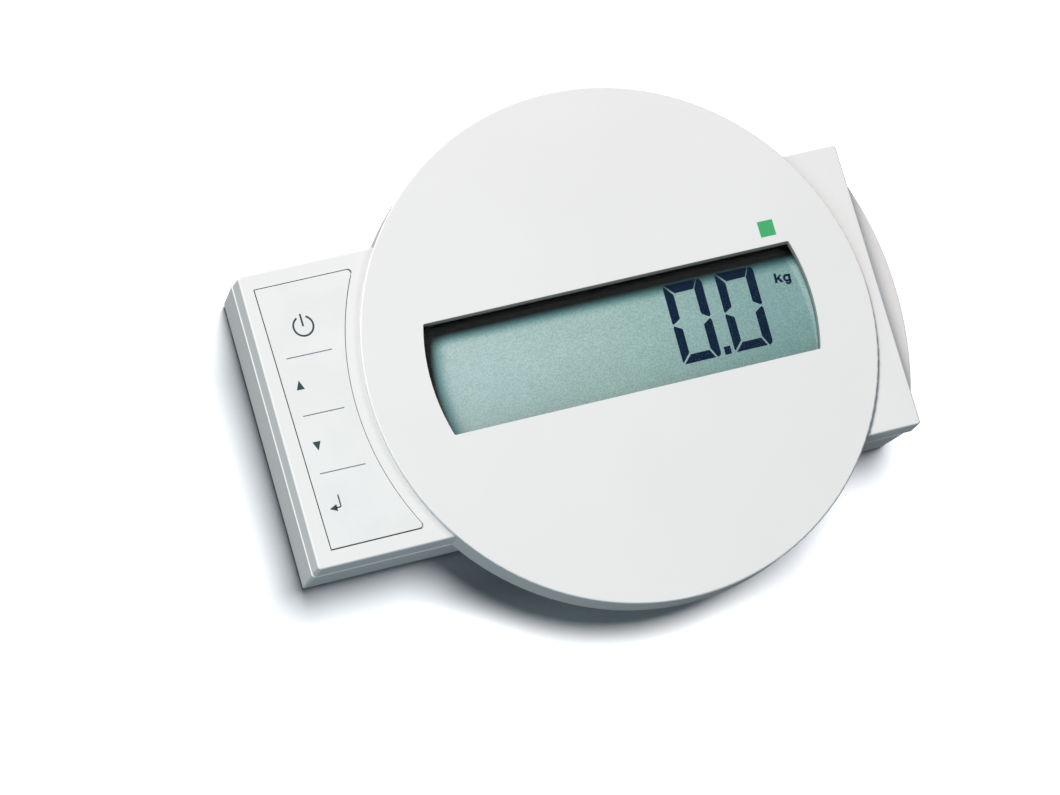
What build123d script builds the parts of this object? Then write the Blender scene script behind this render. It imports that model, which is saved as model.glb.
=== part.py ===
from build123d import *
import math
import os

# Display and operating unit of a wheelchair scale: a round front disc with a sunken
# number window stands on a long flat block that carries a membrane keypad on its left.
# Millimetres. +Z points out of the front, +X along the block to the right and +Y to the
# top of the display. The unit lies on its back, on four pads whose undersides are at Z 0.
# Places along X are measured from the axis of the round disc until the pieces are written.

# Round front disc
DISC_D = 161.0
DISC_WALL = 1.5
DISC_EDGE_R = 0.5
RIM_WALL = 2.0
RIM_GAP = 0.3
DISC_BOSS_X = 30.0
DISC_BOSS_IN = 10.9
DISC_BOSS_ROOF = 0.5

# Number window in the disc, a straight band with ends on a circle
WINDOW_X = 0.8
WINDOW_Y = 1.4
WINDOW_H = 35.0
WINDOW_END_R = 61.8
WINDOW_CORNER_R = 0.6
WINDOW_BROW = 0.5
COLLAR_DEPTH = 3.0
COLLAR_WALL = 1.2
LENS_T = 1.4
LENS_EDGE = 3.4

# Flat block under the disc: upper shell
BLOCK_LEFT = 109.3
BLOCK_RIGHT = 85.0
BLOCK_WIDTH = 91.9
UPPER_DEPTH = 8.9
UPPER_DRAFT = 2.0
UPPER_CORNER_R = 1.3
FACE_EDGE_R = 0.6
WALL = 2.0
WING_WALL = 2.0
LIP_WALL = 1.0
LIP_DROP = 1.2
SEAM_GROOVE = 0.5
LEAST_CORNER_R = 0.3

# Rear shell, with its one curved end
REAR_DEPTH = 20.4
REAR_DRAFT = 2.2
REAR_PROUD = 0.2
REAR_CORNER_R = 1.2
SEAM_EDGE_R = 0.4
BACK_EDGE_R = 1.0
END_BULGE = 8.4
END_RADIUS = 111.0
END_CORNER_R = 5.0
END_BACK_R = 4.0
END_SHELF = 2.0

# Membrane keypad
KEYPAD_LEFT = 104.3
KEYPAD_SKEW = 0.95
KEYPAD_H = 81.0
KEYPAD_ARC_R = 85.0
KEYPAD_CORNER_R = 1.1
KEYPAD_GROOVE = 0.35
KEYPAD_POCKET = 1.4
KEYPAD_FLOOR = 1.2
BASE_T = 0.8
FOIL_T = 0.55
KEY_X = -94.5
KEY_MARGIN = 4.5
KEY_SIZE = 12.0
KEY_CORNER_R = 2.0
KEY_TRAVEL = 0.3
DOME_D = 9.0
DOME_TOP_D = 4.0
DOME_H = 0.3
DOME_GAP = 0.05
TAIL_W = 5.0
TAIL_T = 0.3
TAIL_X = -83.5
TAIL_BEND_R = 2.0
TAIL_GAP = 0.6

# Number panel behind the window
LCD_X = 2.0
LCD_Y = 0.9
LCD_W = 132.0
LCD_H = 40.0
GLASS_T = 2.0
FRONT_GLASS_T = 1.1
GLASS_LEDGE = 2.6
VIEW_IN_X = 2.5
VIEW_IN_Y = 2.7
FRAME_WALL = 1.6
FRAME_LIP = 0.6
PANEL_CORNER_R = 1.0
STRIP_W = 1.8

# Main board and what it carries
BOARD_LEFT = 66.0
BOARD_RIGHT = 70.5
BOARD_IN_LOW = 6.95
BOARD_IN_HIGH = 3.95
BOARD_T = 1.6
BOARD_GAP = 0.8
BOARD_CORNER_R = 2.0
BOARD_HOLE_IN = 3.2
CHIP_X = -20.0
CHIP_IN = 8.5
CHIP_SIZE = 12.0
CHIP_T = 1.6
CHIP_CHAMFER = 0.8
CAPACITOR_X = 6.0
CAPACITOR_PITCH = 11.0
CAPACITOR_D = 6.3
CAPACITOR_H = 5.4
CAPACITOR_CHAMFER = 0.4
BEEPER_X = 46.0
BEEPER_D = 12.0
BEEPER_H = 5.0
BEEPER_CHAMFER = 0.5
BEEPER_HOLE_R = 1.5
CONNECTOR_X = -54.0
CONNECTOR_L = 5.0
CONNECTOR_W = 8.0
CONNECTOR_H = 3.0
CONNECTOR_CHAMFER = 0.5
SOCKET_X = 43.0
SOCKET_W = 16.0
SOCKET_L = 16.0
SOCKET_H = 13.0
SOCKET_MOUTH_W = 11.8
SOCKET_MOUTH_H = 7.4
SOCKET_MOUTH_L = 12.5
SOCKET_LATCH_W = 6.0
SOCKET_LATCH_H = 1.6
JACK_X = 28.5
JACK_W = 9.0
JACK_L = 14.0
JACK_H = 11.0
JACK_HOLE_R = 3.2
JACK_HOLE_L = 10.0
JACK_PIN_R = 1.0
JACK_EDGE_R = 1.0
WALL_RECESS = 0.8

# Battery bay, six cells side by side, and the cover that slides off towards +Y
BAY_X = -42.5
CELL_COUNT = 6
CELL_D = 14.5
CELL_L = 50.5
CELL_CAP_D = 5.5
CELL_CAP_H = 1.3
CELL_CHAMFER = 0.6
CELL_PITCH = 15.0
CELL_GAP = 0.3
PLUS_T = 0.8
SPRING_L = 5.6
CONTACT_T = 0.4
CONTACT_W = 8.0
CONTACT_H = 10.0
CONTACT_BUTTON_R = 1.8
LEAF_SLOPE = 3.0
LEAF_TOP = 2.0
LEAF_RETURN = 1.5
LEAF_BEND_R = 0.8
BAY_WALL = 1.5
BAY_ROOF = 1.2
COVER_T = 1.9
COVER_LIP = 1.0
TONGUE_W = 1.2
TONGUE_T = 0.95
RAIL_W = 2.0
RAIL_H = 1.6
GRIP_COUNT = 5
GRIP_L = 30.0
GRIP_W = 1.0
GRIP_H = 0.5
GRIP_PITCH = 2.6
GRIP_IN = 8.0

# Rubber pads on the back, over the screws that hold the two shells together
PAD_LEFT = 99.0
PAD_RIGHT = 76.0
PAD_IN = 9.45
PAD_D = 12.0
PAD_PROUD = 1.2
PAD_SUNK = 0.8
PAD_EDGE_R = 0.5

# Threaded inserts in the back for a wall or stand bracket
BRACKET_X = 38.0
BRACKET_DX = 40.0
BRACKET_DY = 40.0
INSERT_D = 5.2
INSERT_BORE_R = 1.65
INSERT_L = 8.0
INSERT_BOSS_WALL = 2.2

# Screws
SCREW_R = 1.5
SCREW_HEAD_R = 2.8
SCREW_HEAD_H = 1.8
SCREW_CHAMFER = 0.5
SCREW_HOLE_R = 1.7
SCREW_CLEAR = 0.05
BOSS_R = 3.5
REAR_BOSS_R = 4.6
HEAD_SINK = 3.0
HOUSING_BITE = 5.5
DISC_SCREW_L = 6.0
DISC_PAD_R = 5.0
DISC_PAD_H = 3.6
BOARD_SCREW_R = 1.2
BOARD_SCREW_HEAD_R = 2.2
BOARD_SCREW_HEAD_H = 1.4
BOARD_SCREW_L = 6.0
BOARD_BOSS_R = 2.8

# Clearances: between fixed mouldings, round a key, and in the cover's rails
FIT = 0.15
KEY_GAP = 0.08
SLIDE_GAP = 0.15
HEAD_GAP = 0.3

# Levels worked out from the sizes above, from the resting plane up
BACK_Z = PAD_PROUD
SEAM_Z = BACK_Z + REAR_DEPTH
FACE_Z = SEAM_Z + UPPER_DEPTH
TOP_Z = FACE_Z + DISC_WALL
LENS_Z = TOP_Z - COLLAR_DEPTH
GLASS_Z = LENS_Z - LENS_T - FRAME_LIP
BASE_Z = FACE_Z - KEYPAD_POCKET
FOIL_Z = BASE_Z + BASE_T
DOME_Z = FOIL_Z - KEY_TRAVEL - DOME_H - DOME_GAP
COVER_Z = BACK_Z + COVER_T
CELL_Z = COVER_Z + CELL_GAP + CELL_D / 2
ROOF_Z = CELL_Z + CELL_D / 2 + CELL_GAP
BOARD_Z = ROOF_Z + BAY_ROOF + BOARD_GAP
BOARD_TOP = BOARD_Z + BOARD_T

# Lengths and places that several pieces share
DISC_R = DISC_D / 2
WING_R = DISC_R - RIM_WALL - RIM_GAP
REAR_HALF = BLOCK_WIDTH / 2 + REAR_PROUD
END_X = BLOCK_RIGHT + END_BULGE
BAY_W = CELL_COUNT * CELL_PITCH + 2 * CELL_GAP
BAY_L = CELL_L + PLUS_T + SPRING_L
COVER_W = BAY_W + 2 * COVER_LIP
COVER_END_Y = -BAY_L / 2 - BAY_WALL
KEY_NAMES = ["key_enter", "key_down", "key_up", "key_power"]
KEY_PITCH = (KEYPAD_H - 2 * KEY_MARGIN) / len(KEY_NAMES)
BOARD_LOW = BLOCK_WIDTH / 2 - BOARD_IN_LOW
BOARD_HIGH = BLOCK_WIDTH / 2 - BOARD_IN_HIGH
CHIP_Y = BOARD_HIGH - CHIP_IN
PAD_Y = BLOCK_WIDTH / 2 - PAD_IN
DISC_BOSS_Y = math.sqrt((DISC_R - DISC_BOSS_IN) ** 2 - DISC_BOSS_X**2)
DISC_SCREWS = [(x, y) for x in (-DISC_BOSS_X, DISC_BOSS_X) for y in (-DISC_BOSS_Y, DISC_BOSS_Y)]
PADS = [(x, y) for x in (-PAD_LEFT, PAD_RIGHT) for y in (-PAD_Y, PAD_Y)]
BOARD_SCREWS = [
    (x, y)
    for x in (BOARD_HOLE_IN - BOARD_LEFT, BOARD_RIGHT - BOARD_HOLE_IN)
    for y in (BOARD_HOLE_IN - BOARD_LOW, BOARD_HIGH - BOARD_HOLE_IN)
]
INSERTS = [
    (BRACKET_X + x * BRACKET_DX / 2, y * BRACKET_DY / 2)
    for x in (-1, 1)
    for y in (-1, 1)
]

# The origin is under the middle of the whole unit
SHIFT_X = (BLOCK_LEFT + REAR_PROUD - END_X) / 2


def rise(outline, low, high):
    """Plate or block of one outline between two levels."""
    return extrude(Pos(0, 0, low) * outline, amount=high - low)


def post(x, y, radius, low, high):
    """Upright cylinder between two levels."""
    return Pos(x, y, low) * extrude(Circle(radius), amount=high - low)


def span(x_low, x_high, y_low, y_high):
    """Rectangle given by its four sides."""
    middle = ((x_low + x_high) / 2, (y_low + y_high) / 2)
    return Pos(*middle) * Rectangle(x_high - x_low, y_high - y_low)


def block_outline(inset=0.0):
    """Plan of the upper shell at the seam."""
    half = BLOCK_WIDTH / 2 - inset
    plan = span(inset - BLOCK_LEFT, BLOCK_RIGHT - inset, -half, half)
    return fillet(plan.vertices(), max(UPPER_CORNER_R - inset, LEAST_CORNER_R))


def block_solid(inset, high):
    """Block that narrows towards its face, as the upper shell does."""
    plan = Pos(0, 0, SEAM_Z) * block_outline(inset)
    return extrude(plan, amount=high - SEAM_Z, taper=UPPER_DRAFT)


def rear_outline(inset=0.0):
    """Plan of the rear shell at the seam: three straight sides and a curved end."""
    half = REAR_HALF - inset
    left = inset - BLOCK_LEFT - REAR_PROUD
    radius = END_RADIUS - inset
    centre = END_X - END_RADIUS
    corner = centre + math.sqrt(radius * radius - half * half)
    sides = [
        Line((corner, half), (left, half)),
        Line((left, half), (left, -half)),
        Line((left, -half), (corner, -half)),
        ThreePointArc((corner, -half), (centre + radius, 0), (corner, half)),
    ]
    plan = make_face(sides)
    square = plan.vertices().sort_by(Axis.X)[:2]
    plan = fillet(square, max(REAR_CORNER_R - inset, LEAST_CORNER_R))
    curved = plan.vertices().sort_by(Axis.X)[-2:]
    return fillet(curved, max(END_CORNER_R - inset, LEAST_CORNER_R))


def rear_solid(inset, low):
    """Tub form that narrows towards the back."""
    plan = Pos(0, 0, SEAM_Z) * rear_outline(inset)
    return extrude(plan, amount=SEAM_Z - low, dir=(0, 0, -1), taper=REAR_DRAFT)


def window_outline(out=0.0):
    """Band of the number window, grown outwards by the given width."""
    reach = 2 * (WINDOW_END_R + out)
    band = Circle(WINDOW_END_R + out) & Rectangle(reach, WINDOW_H + 2 * out)
    return Pos(WINDOW_X, WINDOW_Y) * fillet(band.vertices(), WINDOW_CORNER_R + out)


def keypad_outline(out=0.0):
    """Foil outline: a slightly leaning left side, two straight ones and one that follows the disc."""
    half = KEYPAD_H / 2 + out
    left = -KEYPAD_LEFT - out
    lean = half * math.tan(math.radians(KEYPAD_SKEW))
    arc_r = KEYPAD_ARC_R - out
    corners = [(left - lean, half), (left + lean, -half), (-arc_r / 2, -half), (-arc_r / 2, half)]
    plan = make_face(Polyline(*corners, close=True)) - Circle(arc_r)
    return fillet(plan.vertices().sort_by(Axis.X)[-2:], KEYPAD_CORNER_R)


def key_outline(number, out=0.0):
    """One pressed area of the keypad, counted from the lowest."""
    size = KEY_SIZE + 2 * out
    return Pos(KEY_X, (number - 1.5) * KEY_PITCH) * RectangleRounded(size, size, KEY_CORNER_R + out)


def cell_places():
    """Each cell's place across the bay and the way that its cap points."""
    first = BAY_X - (CELL_COUNT - 1) * CELL_PITCH / 2
    return [(first + i * CELL_PITCH, 1 if i % 2 == 0 else -1) for i in range(CELL_COUNT)]


def front_disc():
    """Round cap with the window, a collar behind it and slots where the block passes."""
    disc = rise(Circle(DISC_R), SEAM_Z, TOP_Z)
    disc = fillet(disc.faces().sort_by(Axis.Z)[-1].edges(), DISC_EDGE_R)
    disc -= rise(Circle(DISC_R - RIM_WALL), SEAM_Z, FACE_Z)
    disc -= block_solid(-FIT, FACE_Z)
    for x, y in DISC_SCREWS:
        disc += post(x, y, BOSS_R, SEAM_Z + DISC_PAD_H, FACE_Z)
        disc -= post(x, y, SCREW_R + SCREW_CLEAR, SEAM_Z + DISC_PAD_H, FACE_Z - DISC_BOSS_ROOF)
    disc += rise(window_outline(COLLAR_WALL), LENS_Z, FACE_Z)
    disc -= rise(window_outline(), LENS_Z, TOP_Z)
    return disc + window_brow()


def window_brow():
    """Slope along the upper wall of the window, thicker towards the lens."""
    top = WINDOW_Y + WINDOW_H / 2
    slope = Polyline((top, TOP_Z), (top, LENS_Z), (top - WINDOW_BROW, LENS_Z), close=True)
    wedge = extrude(Plane.YZ * make_face(slope), amount=WINDOW_END_R, both=True)
    return (Pos(WINDOW_X, 0, 0) * wedge) & rise(window_outline(), LENS_Z, TOP_Z)


def upper_shell():
    """Shell with the keypad pocket, the window opening and two wings behind the disc."""
    shell = block_solid(0, FACE_Z)
    shell = fillet(shell.faces().sort_by(Axis.Z)[-1].edges(), FACE_EDGE_R)
    shell += rise(Circle(WING_R), SEAM_Z, SEAM_Z + WING_WALL)
    shell -= block_solid(WALL, FACE_Z - WALL)
    shell += keypad_bed()
    shell += seam_lip()
    for x, y in DISC_SCREWS:
        shell += post(x, y, DISC_PAD_R, SEAM_Z, SEAM_Z + DISC_PAD_H)
        shell -= post(x, y, SCREW_HOLE_R, SEAM_Z, SEAM_Z + DISC_PAD_H)
        shell -= post(x, y, SCREW_HEAD_R + HEAD_GAP, SEAM_Z, SEAM_Z + SCREW_HEAD_H + HEAD_GAP)
    for x, y in PADS:
        shell += post(x, y, BOSS_R, SEAM_Z, FACE_Z - WALL)
        shell -= post(x, y, SCREW_R + SCREW_CLEAR, SEAM_Z, FACE_Z - WALL)
    for x, y in BOARD_SCREWS:
        shell += post(x, y, BOARD_BOSS_R, BOARD_TOP, FACE_Z - WALL)
        shell -= post(x, y, BOARD_SCREW_R + SCREW_CLEAR, BOARD_TOP, FACE_Z - WALL)
    shell -= rise(window_outline(COLLAR_WALL + FIT), SEAM_Z, FACE_Z)
    shell -= rise(window_outline(LENS_EDGE + FIT), SEAM_Z, LENS_Z)
    shell -= rise(keypad_outline(KEYPAD_GROOVE), BASE_Z, FACE_Z)
    shell -= seam_groove()
    return shell - tail_slot()


def keypad_bed():
    """Thicker floor under the keypad's pocket."""
    bed = rise(keypad_outline(KEYPAD_GROOVE + KEYPAD_FLOOR), BASE_Z - KEYPAD_FLOOR, FACE_Z - WALL)
    return bed & block_solid(WALL / 2, FACE_Z)


def tail_slot():
    """Slot in the pocket's floor for the keypad's flat tail."""
    slot = Rectangle(TAIL_T + 2 * TAIL_GAP, TAIL_W + 2 * TAIL_GAP)
    return Pos(TAIL_X, CHIP_Y, 0) * rise(slot, SEAM_Z, BASE_Z)


def seam_lip():
    """Rim inside the upper shell that drops into the rear shell and lines the two up."""
    outer = WALL - REAR_PROUD + FIT
    ring = block_outline(outer) - block_outline(outer + LIP_WALL)
    keep = span(-BLOCK_LEFT, BLOCK_RIGHT - WALL - END_SHELF - LIP_WALL, -BLOCK_WIDTH, BLOCK_WIDTH)
    return rise(ring & keep, SEAM_Z - LIP_DROP, SEAM_Z + LIP_DROP)


def seam_groove():
    """Fine gap along the lower edge of the upper shell, beyond the disc."""
    ring = block_outline() - block_outline(SEAM_GROOVE)
    return rise(ring - Circle(DISC_R), SEAM_Z, SEAM_Z + SEAM_GROOVE)


def rear_shell():
    """Tub with the battery bay, the cover's track, screw bosses and socket openings."""
    tub = tub_form() - rear_solid(WALL, BACK_Z + WALL)
    tub += end_shelf()
    tub += bay_walls()
    for x, y in PADS:
        tub += post(x, y, REAR_BOSS_R, BACK_Z, SEAM_Z)
    for x, y in INSERTS:
        tub += post(x, y, INSERT_D / 2 + INSERT_BOSS_WALL, BACK_Z, BACK_Z + INSERT_L + INSERT_BOSS_WALL)
        tub -= post(x, y, INSERT_D / 2, BACK_Z, BACK_Z + INSERT_L)
    for x, y in PADS:
        tub -= post(x, y, SCREW_HOLE_R, BACK_Z, SEAM_Z)
        tub -= post(x, y, SCREW_HEAD_R + HEAD_GAP, BACK_Z, BACK_Z + PAD_SUNK + HEAD_SINK)
        tub -= post(x, y, PAD_D / 2 + FIT, BACK_Z, BACK_Z + PAD_SUNK)
    tub -= cover_track()
    return tub - socket_openings()


def tub_form():
    """Outside of the tub, its back edge rounded more along the curved end."""
    tub = rear_solid(0, BACK_Z)
    tub = fillet(tub.faces().sort_by(Axis.Z)[0].edges(), BACK_EDGE_R)
    tub = fillet(tub.faces().sort_by(Axis.Z)[-1].edges(), SEAM_EDGE_R)
    plan = Pos(END_X - END_RADIUS, 0, SEAM_Z) * Circle(END_RADIUS)
    bowl = extrude(plan, amount=REAR_DEPTH, dir=(0, 0, -1), taper=REAR_DRAFT)
    return tub & fillet(bowl.faces().sort_by(Axis.Z)[0].edges(), END_BACK_R)


def end_shelf():
    """Flat top that closes the curved end beyond the upper shell."""
    keep = span(BLOCK_RIGHT - WALL - END_SHELF, END_X, -REAR_HALF, REAR_HALF)
    return rise(rear_outline(WALL / 2) & keep, SEAM_Z - END_SHELF, SEAM_Z)


def bay_walls():
    """Box round the cells with its roof, the rails and the floor beside the bay."""
    box = Rectangle(BAY_W + 2 * BAY_WALL, BAY_L + 2 * BAY_WALL)
    walls = rise(box, BACK_Z, ROOF_Z + BAY_ROOF)
    rail_half = COVER_W / 2 + TONGUE_W + RAIL_W
    track = span(-rail_half, rail_half, COVER_END_Y, REAR_HALF)
    walls += rise(track, BACK_Z + WALL / 2, COVER_Z + RAIL_H)
    walls -= rise(Rectangle(BAY_W, BAY_L), BACK_Z, ROOF_Z)
    return (Pos(BAY_X, 0, 0) * walls) & rear_solid(WALL / 2, BACK_Z)


def cover_track():
    """Way in the back for the cover, with a groove for each of its tongues."""
    gap = SLIDE_GAP
    end = REAR_HALF + WALL
    plate = span(-COVER_W / 2 - gap, COVER_W / 2 + gap, COVER_END_Y - gap, end)
    tongue = COVER_W / 2 + TONGUE_W + gap
    groove = span(-tongue, tongue, COVER_END_Y - gap, end)
    track = rise(plate, BACK_Z, COVER_Z + gap)
    track += rise(groove, COVER_Z - TONGUE_T - gap, COVER_Z + gap)
    return Pos(BAY_X, 0, 0) * track


def socket_openings():
    """Openings in the upper side wall where the two sockets come through."""
    wide = 2 * FIT
    socket = Pos(SOCKET_X, REAR_HALF, BOARD_Z - SOCKET_H / 2)
    jack = Pos(JACK_X, REAR_HALF, BOARD_Z - JACK_H / 2)
    holes = socket * Box(SOCKET_W + wide, 4 * WALL, SOCKET_H + wide)
    return holes + jack * Box(JACK_W + wide, 4 * WALL, JACK_H + wide)


def battery_cover():
    """Sliding plate that ends flush with the tub's side, with tongues and a ribbed grip."""
    plate = rise(span(-COVER_W / 2, COVER_W / 2, COVER_END_Y, REAR_HALF), BACK_Z, COVER_Z)
    half = COVER_W / 2 + TONGUE_W
    plate += rise(span(-half, half, COVER_END_Y, REAR_HALF), COVER_Z - TONGUE_T, COVER_Z)
    plate = (Pos(BAY_X, 0, 0) * plate) & tub_form()
    for i in range(GRIP_COUNT):
        y = REAR_HALF - GRIP_IN - i * GRIP_PITCH
        plate += Pos(BAY_X, y, 0) * rise(SlotOverall(GRIP_L, GRIP_W), BACK_Z - GRIP_H, COVER_Z)
    return plate


def window_lens():
    """Clear plate glued behind the window's collar."""
    return rise(window_outline(LENS_EDGE), LENS_Z - LENS_T, LENS_Z)


def lcd_frame():
    """Dark frame that holds the number panel on the board."""
    outer = Rectangle(LCD_W + 2 * FRAME_WALL, LCD_H + 2 * FRAME_WALL)
    frame = rise(outer, BOARD_TOP, LENS_Z - LENS_T)
    frame -= rise(Rectangle(LCD_W + 2 * FIT, LCD_H + 2 * FIT), BOARD_TOP, GLASS_Z)
    view = RectangleRounded(LCD_W - 2 * VIEW_IN_X, LCD_H - 2 * VIEW_IN_Y, PANEL_CORNER_R)
    frame -= rise(view, BOARD_TOP, TOP_Z)
    return Pos(LCD_X, LCD_Y, 0) * frame


def lcd_glass():
    """Two bonded plates, the rear one narrower so that its ledges take the strips."""
    glass = rise(Rectangle(LCD_W, LCD_H), GLASS_Z - FRONT_GLASS_T, GLASS_Z)
    glass += rise(Rectangle(LCD_W, LCD_H - 2 * GLASS_LEDGE), GLASS_Z - GLASS_T, GLASS_Z)
    return Pos(LCD_X, LCD_Y, 0) * glass


def backlight():
    """Light guide between the board and the number panel."""
    ledges = 2 * GLASS_LEDGE
    plan = RectangleRounded(LCD_W - ledges, LCD_H - ledges - 2 * FIT, PANEL_CORNER_R)
    guide = rise(plan, BOARD_TOP, GLASS_Z - GLASS_T)
    return Pos(LCD_X, LCD_Y, 0) * guide


def zebra_strips():
    """Two rubber strips that connect the glass's ledges to the board."""
    offset = LCD_H / 2 - STRIP_W / 2 - FIT
    strips = [
        Pos(LCD_X, LCD_Y + side * offset, 0)
        * rise(Rectangle(LCD_W - GLASS_LEDGE, STRIP_W), BOARD_TOP, GLASS_Z - FRONT_GLASS_T)
        for side in (-1, 1)
    ]
    return Compound(children=strips)


def keypad_base():
    """Switch laminate in the pocket, with a hollow under each key."""
    base = rise(keypad_outline(), BASE_Z, FOIL_Z)
    for number in range(len(KEY_NAMES)):
        base -= rise(key_outline(number, KEY_GAP), DOME_Z, FOIL_Z)
    return base


def keypad_foil():
    """Printed top foil, open where the four keys are."""
    foil = rise(keypad_outline(), FOIL_Z, FOIL_Z + FOIL_T)
    for number in range(len(KEY_NAMES)):
        foil -= rise(key_outline(number, KEY_GAP), FOIL_Z, FOIL_Z + FOIL_T)
    return foil


def key_patch(number):
    """The part of the foil that a finger pushes down."""
    return rise(key_outline(number), FOIL_Z, FOIL_Z + FOIL_T)


def key_domes():
    """Thin snap domes under the keys, each with a flat crown."""
    dome = Cone(DOME_D / 2, DOME_TOP_D / 2, DOME_H, align=(Align.CENTER, Align.CENTER, Align.MIN))
    domes = [
        Pos(KEY_X, (number - 1.5) * KEY_PITCH, DOME_Z) * dome
        for number in range(len(KEY_NAMES))
    ]
    return Compound(children=domes)


def keypad_tail():
    """Flat tail from the keypad's laminate, through the slot, to the board's connector."""
    low = BOARD_TOP + CONNECTOR_H / 2
    route = FilletPolyline((TAIL_X, BASE_Z), (TAIL_X, low), (CONNECTOR_X, low), radius=TAIL_BEND_R)
    tail = extrude(Plane.XZ * trace(route, TAIL_T), amount=TAIL_W / 2, both=True)
    return Pos(0, CHIP_Y, 0) * tail


def tail_connector():
    """Connector on the board's top that grips the keypad's tail."""
    shape = Rectangle(CONNECTOR_L, CONNECTOR_W)
    body = Pos(CONNECTOR_X, CHIP_Y, 0) * rise(shape, BOARD_TOP, BOARD_TOP + CONNECTOR_H)
    body = chamfer(body.edges().filter_by(Axis.Y).sort_by(Axis.Z)[-2:], CONNECTOR_CHAMFER)
    mouth = Pos(CONNECTOR_X - CONNECTOR_L / 2, CHIP_Y, BOARD_TOP + CONNECTOR_H / 2)
    return body - mouth * Box(CONNECTOR_L + 2 * FIT, TAIL_W + 2 * FIT, TAIL_T + FIT)


def main_board():
    """Circuit board with its four screw holes."""
    plan = span(-BOARD_LEFT, BOARD_RIGHT, -BOARD_LOW, BOARD_HIGH)
    plan = fillet(plan.vertices(), BOARD_CORNER_R)
    board = rise(plan, BOARD_Z, BOARD_TOP)
    for x, y in BOARD_SCREWS:
        board -= post(x, y, BOARD_SCREW_R + FIT, BOARD_Z, BOARD_TOP)
    return board


def processor_chip():
    """Flat chip on the board's top, with its corners cut."""
    chip = rise(Rectangle(CHIP_SIZE, CHIP_SIZE), BOARD_TOP, BOARD_TOP + CHIP_T)
    chip = chamfer(chip.edges().filter_by(Axis.Z), CHIP_CHAMFER)
    return Pos(CHIP_X, CHIP_Y, 0) * chip


def capacitors():
    """Two round capacitors beside the chip."""
    cans = []
    for i in range(2):
        x = CAPACITOR_X + i * CAPACITOR_PITCH
        can = post(x, CHIP_Y, CAPACITOR_D / 2, BOARD_TOP, BOARD_TOP + CAPACITOR_H)
        cans.append(chamfer(can.faces().sort_by(Axis.Z)[-1].edges(), CAPACITOR_CHAMFER))
    return Compound(children=cans)


def beeper():
    """Round sounder with a hole in its top."""
    body = post(BEEPER_X, CHIP_Y, BEEPER_D / 2, BOARD_TOP, BOARD_TOP + BEEPER_H)
    body = chamfer(body.faces().sort_by(Axis.Z)[-1].edges(), BEEPER_CHAMFER)
    floor = BOARD_TOP + BEEPER_H / 2
    return body - post(BEEPER_X, CHIP_Y, BEEPER_HOLE_R, floor, BOARD_TOP + BEEPER_H)


def scale_socket():
    """Modular socket for the platform's lead, hung under the board, mouth to +Y."""
    front = REAR_HALF - WALL_RECESS
    middle = BOARD_Z - SOCKET_H / 2
    body = Pos(0, front - SOCKET_L / 2, middle) * Box(SOCKET_W, SOCKET_L, SOCKET_H)
    mouth = Pos(0, front - SOCKET_MOUTH_L / 2, middle)
    body -= mouth * Box(SOCKET_MOUTH_W, SOCKET_MOUTH_L, SOCKET_MOUTH_H)
    latch = Pos(0, 0, (SOCKET_MOUTH_H + SOCKET_LATCH_H) / 2)
    body -= mouth * latch * Box(SOCKET_LATCH_W, SOCKET_MOUTH_L, SOCKET_LATCH_H)
    return Pos(SOCKET_X, 0, 0) * body


def power_jack():
    """Round supply jack with its centre pin, hung under the board, mouth to +Y."""
    front = REAR_HALF - WALL_RECESS
    middle = BOARD_Z - JACK_H / 2
    body = Pos(0, front - JACK_L / 2, middle) * Box(JACK_W, JACK_L, JACK_H)
    body = fillet(body.edges().filter_by(Axis.Y), JACK_EDGE_R)
    mouth = Pos(0, front, middle) * Rot(90, 0, 0)
    body -= mouth * extrude(Circle(JACK_HOLE_R), amount=JACK_HOLE_L)
    body += mouth * Pos(0, 0, JACK_PIN_R) * extrude(Circle(JACK_PIN_R), amount=JACK_HOLE_L)
    return Pos(JACK_X, 0, 0) * body


def battery_cells():
    """Six round cells, their caps pointing to and fro."""
    cells = []
    for x, way in cell_places():
        tube = Cylinder(CELL_D / 2, CELL_L - CELL_CAP_H)
        tube = chamfer(tube.edges().filter_by(GeomType.CIRCLE), CELL_CHAMFER)
        cap = Pos(0, 0, CELL_L / 2) * Cylinder(CELL_CAP_D / 2, CELL_CAP_H)
        cell = Pos(0, 0, -CELL_CAP_H / 2) * (tube + cap)
        turn = Rot(-90 * way, 0, 0)
        y = way * (BAY_L / 2 - PLUS_T - CELL_L / 2)
        cells.append(Pos(x, y, CELL_Z) * turn * cell)
    return Compound(children=cells)


def plus_contacts():
    """Flat contact plate at each cell's cap, with a raised button."""
    plates = []
    for x, way in cell_places():
        plate = Pos(0, -CONTACT_T / 2, 0) * Box(CONTACT_W, CONTACT_T, CONTACT_H)
        button = Pos(0, -PLUS_T / 2, 0) * Rot(90, 0, 0) * Cylinder(CONTACT_BUTTON_R, PLUS_T)
        turn = Rot(0, 0, 0) if way > 0 else Rot(0, 0, 180)
        plates.append(Pos(x, way * BAY_L / 2, CELL_Z) * turn * (plate + button))
    return Compound(children=plates)


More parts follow.
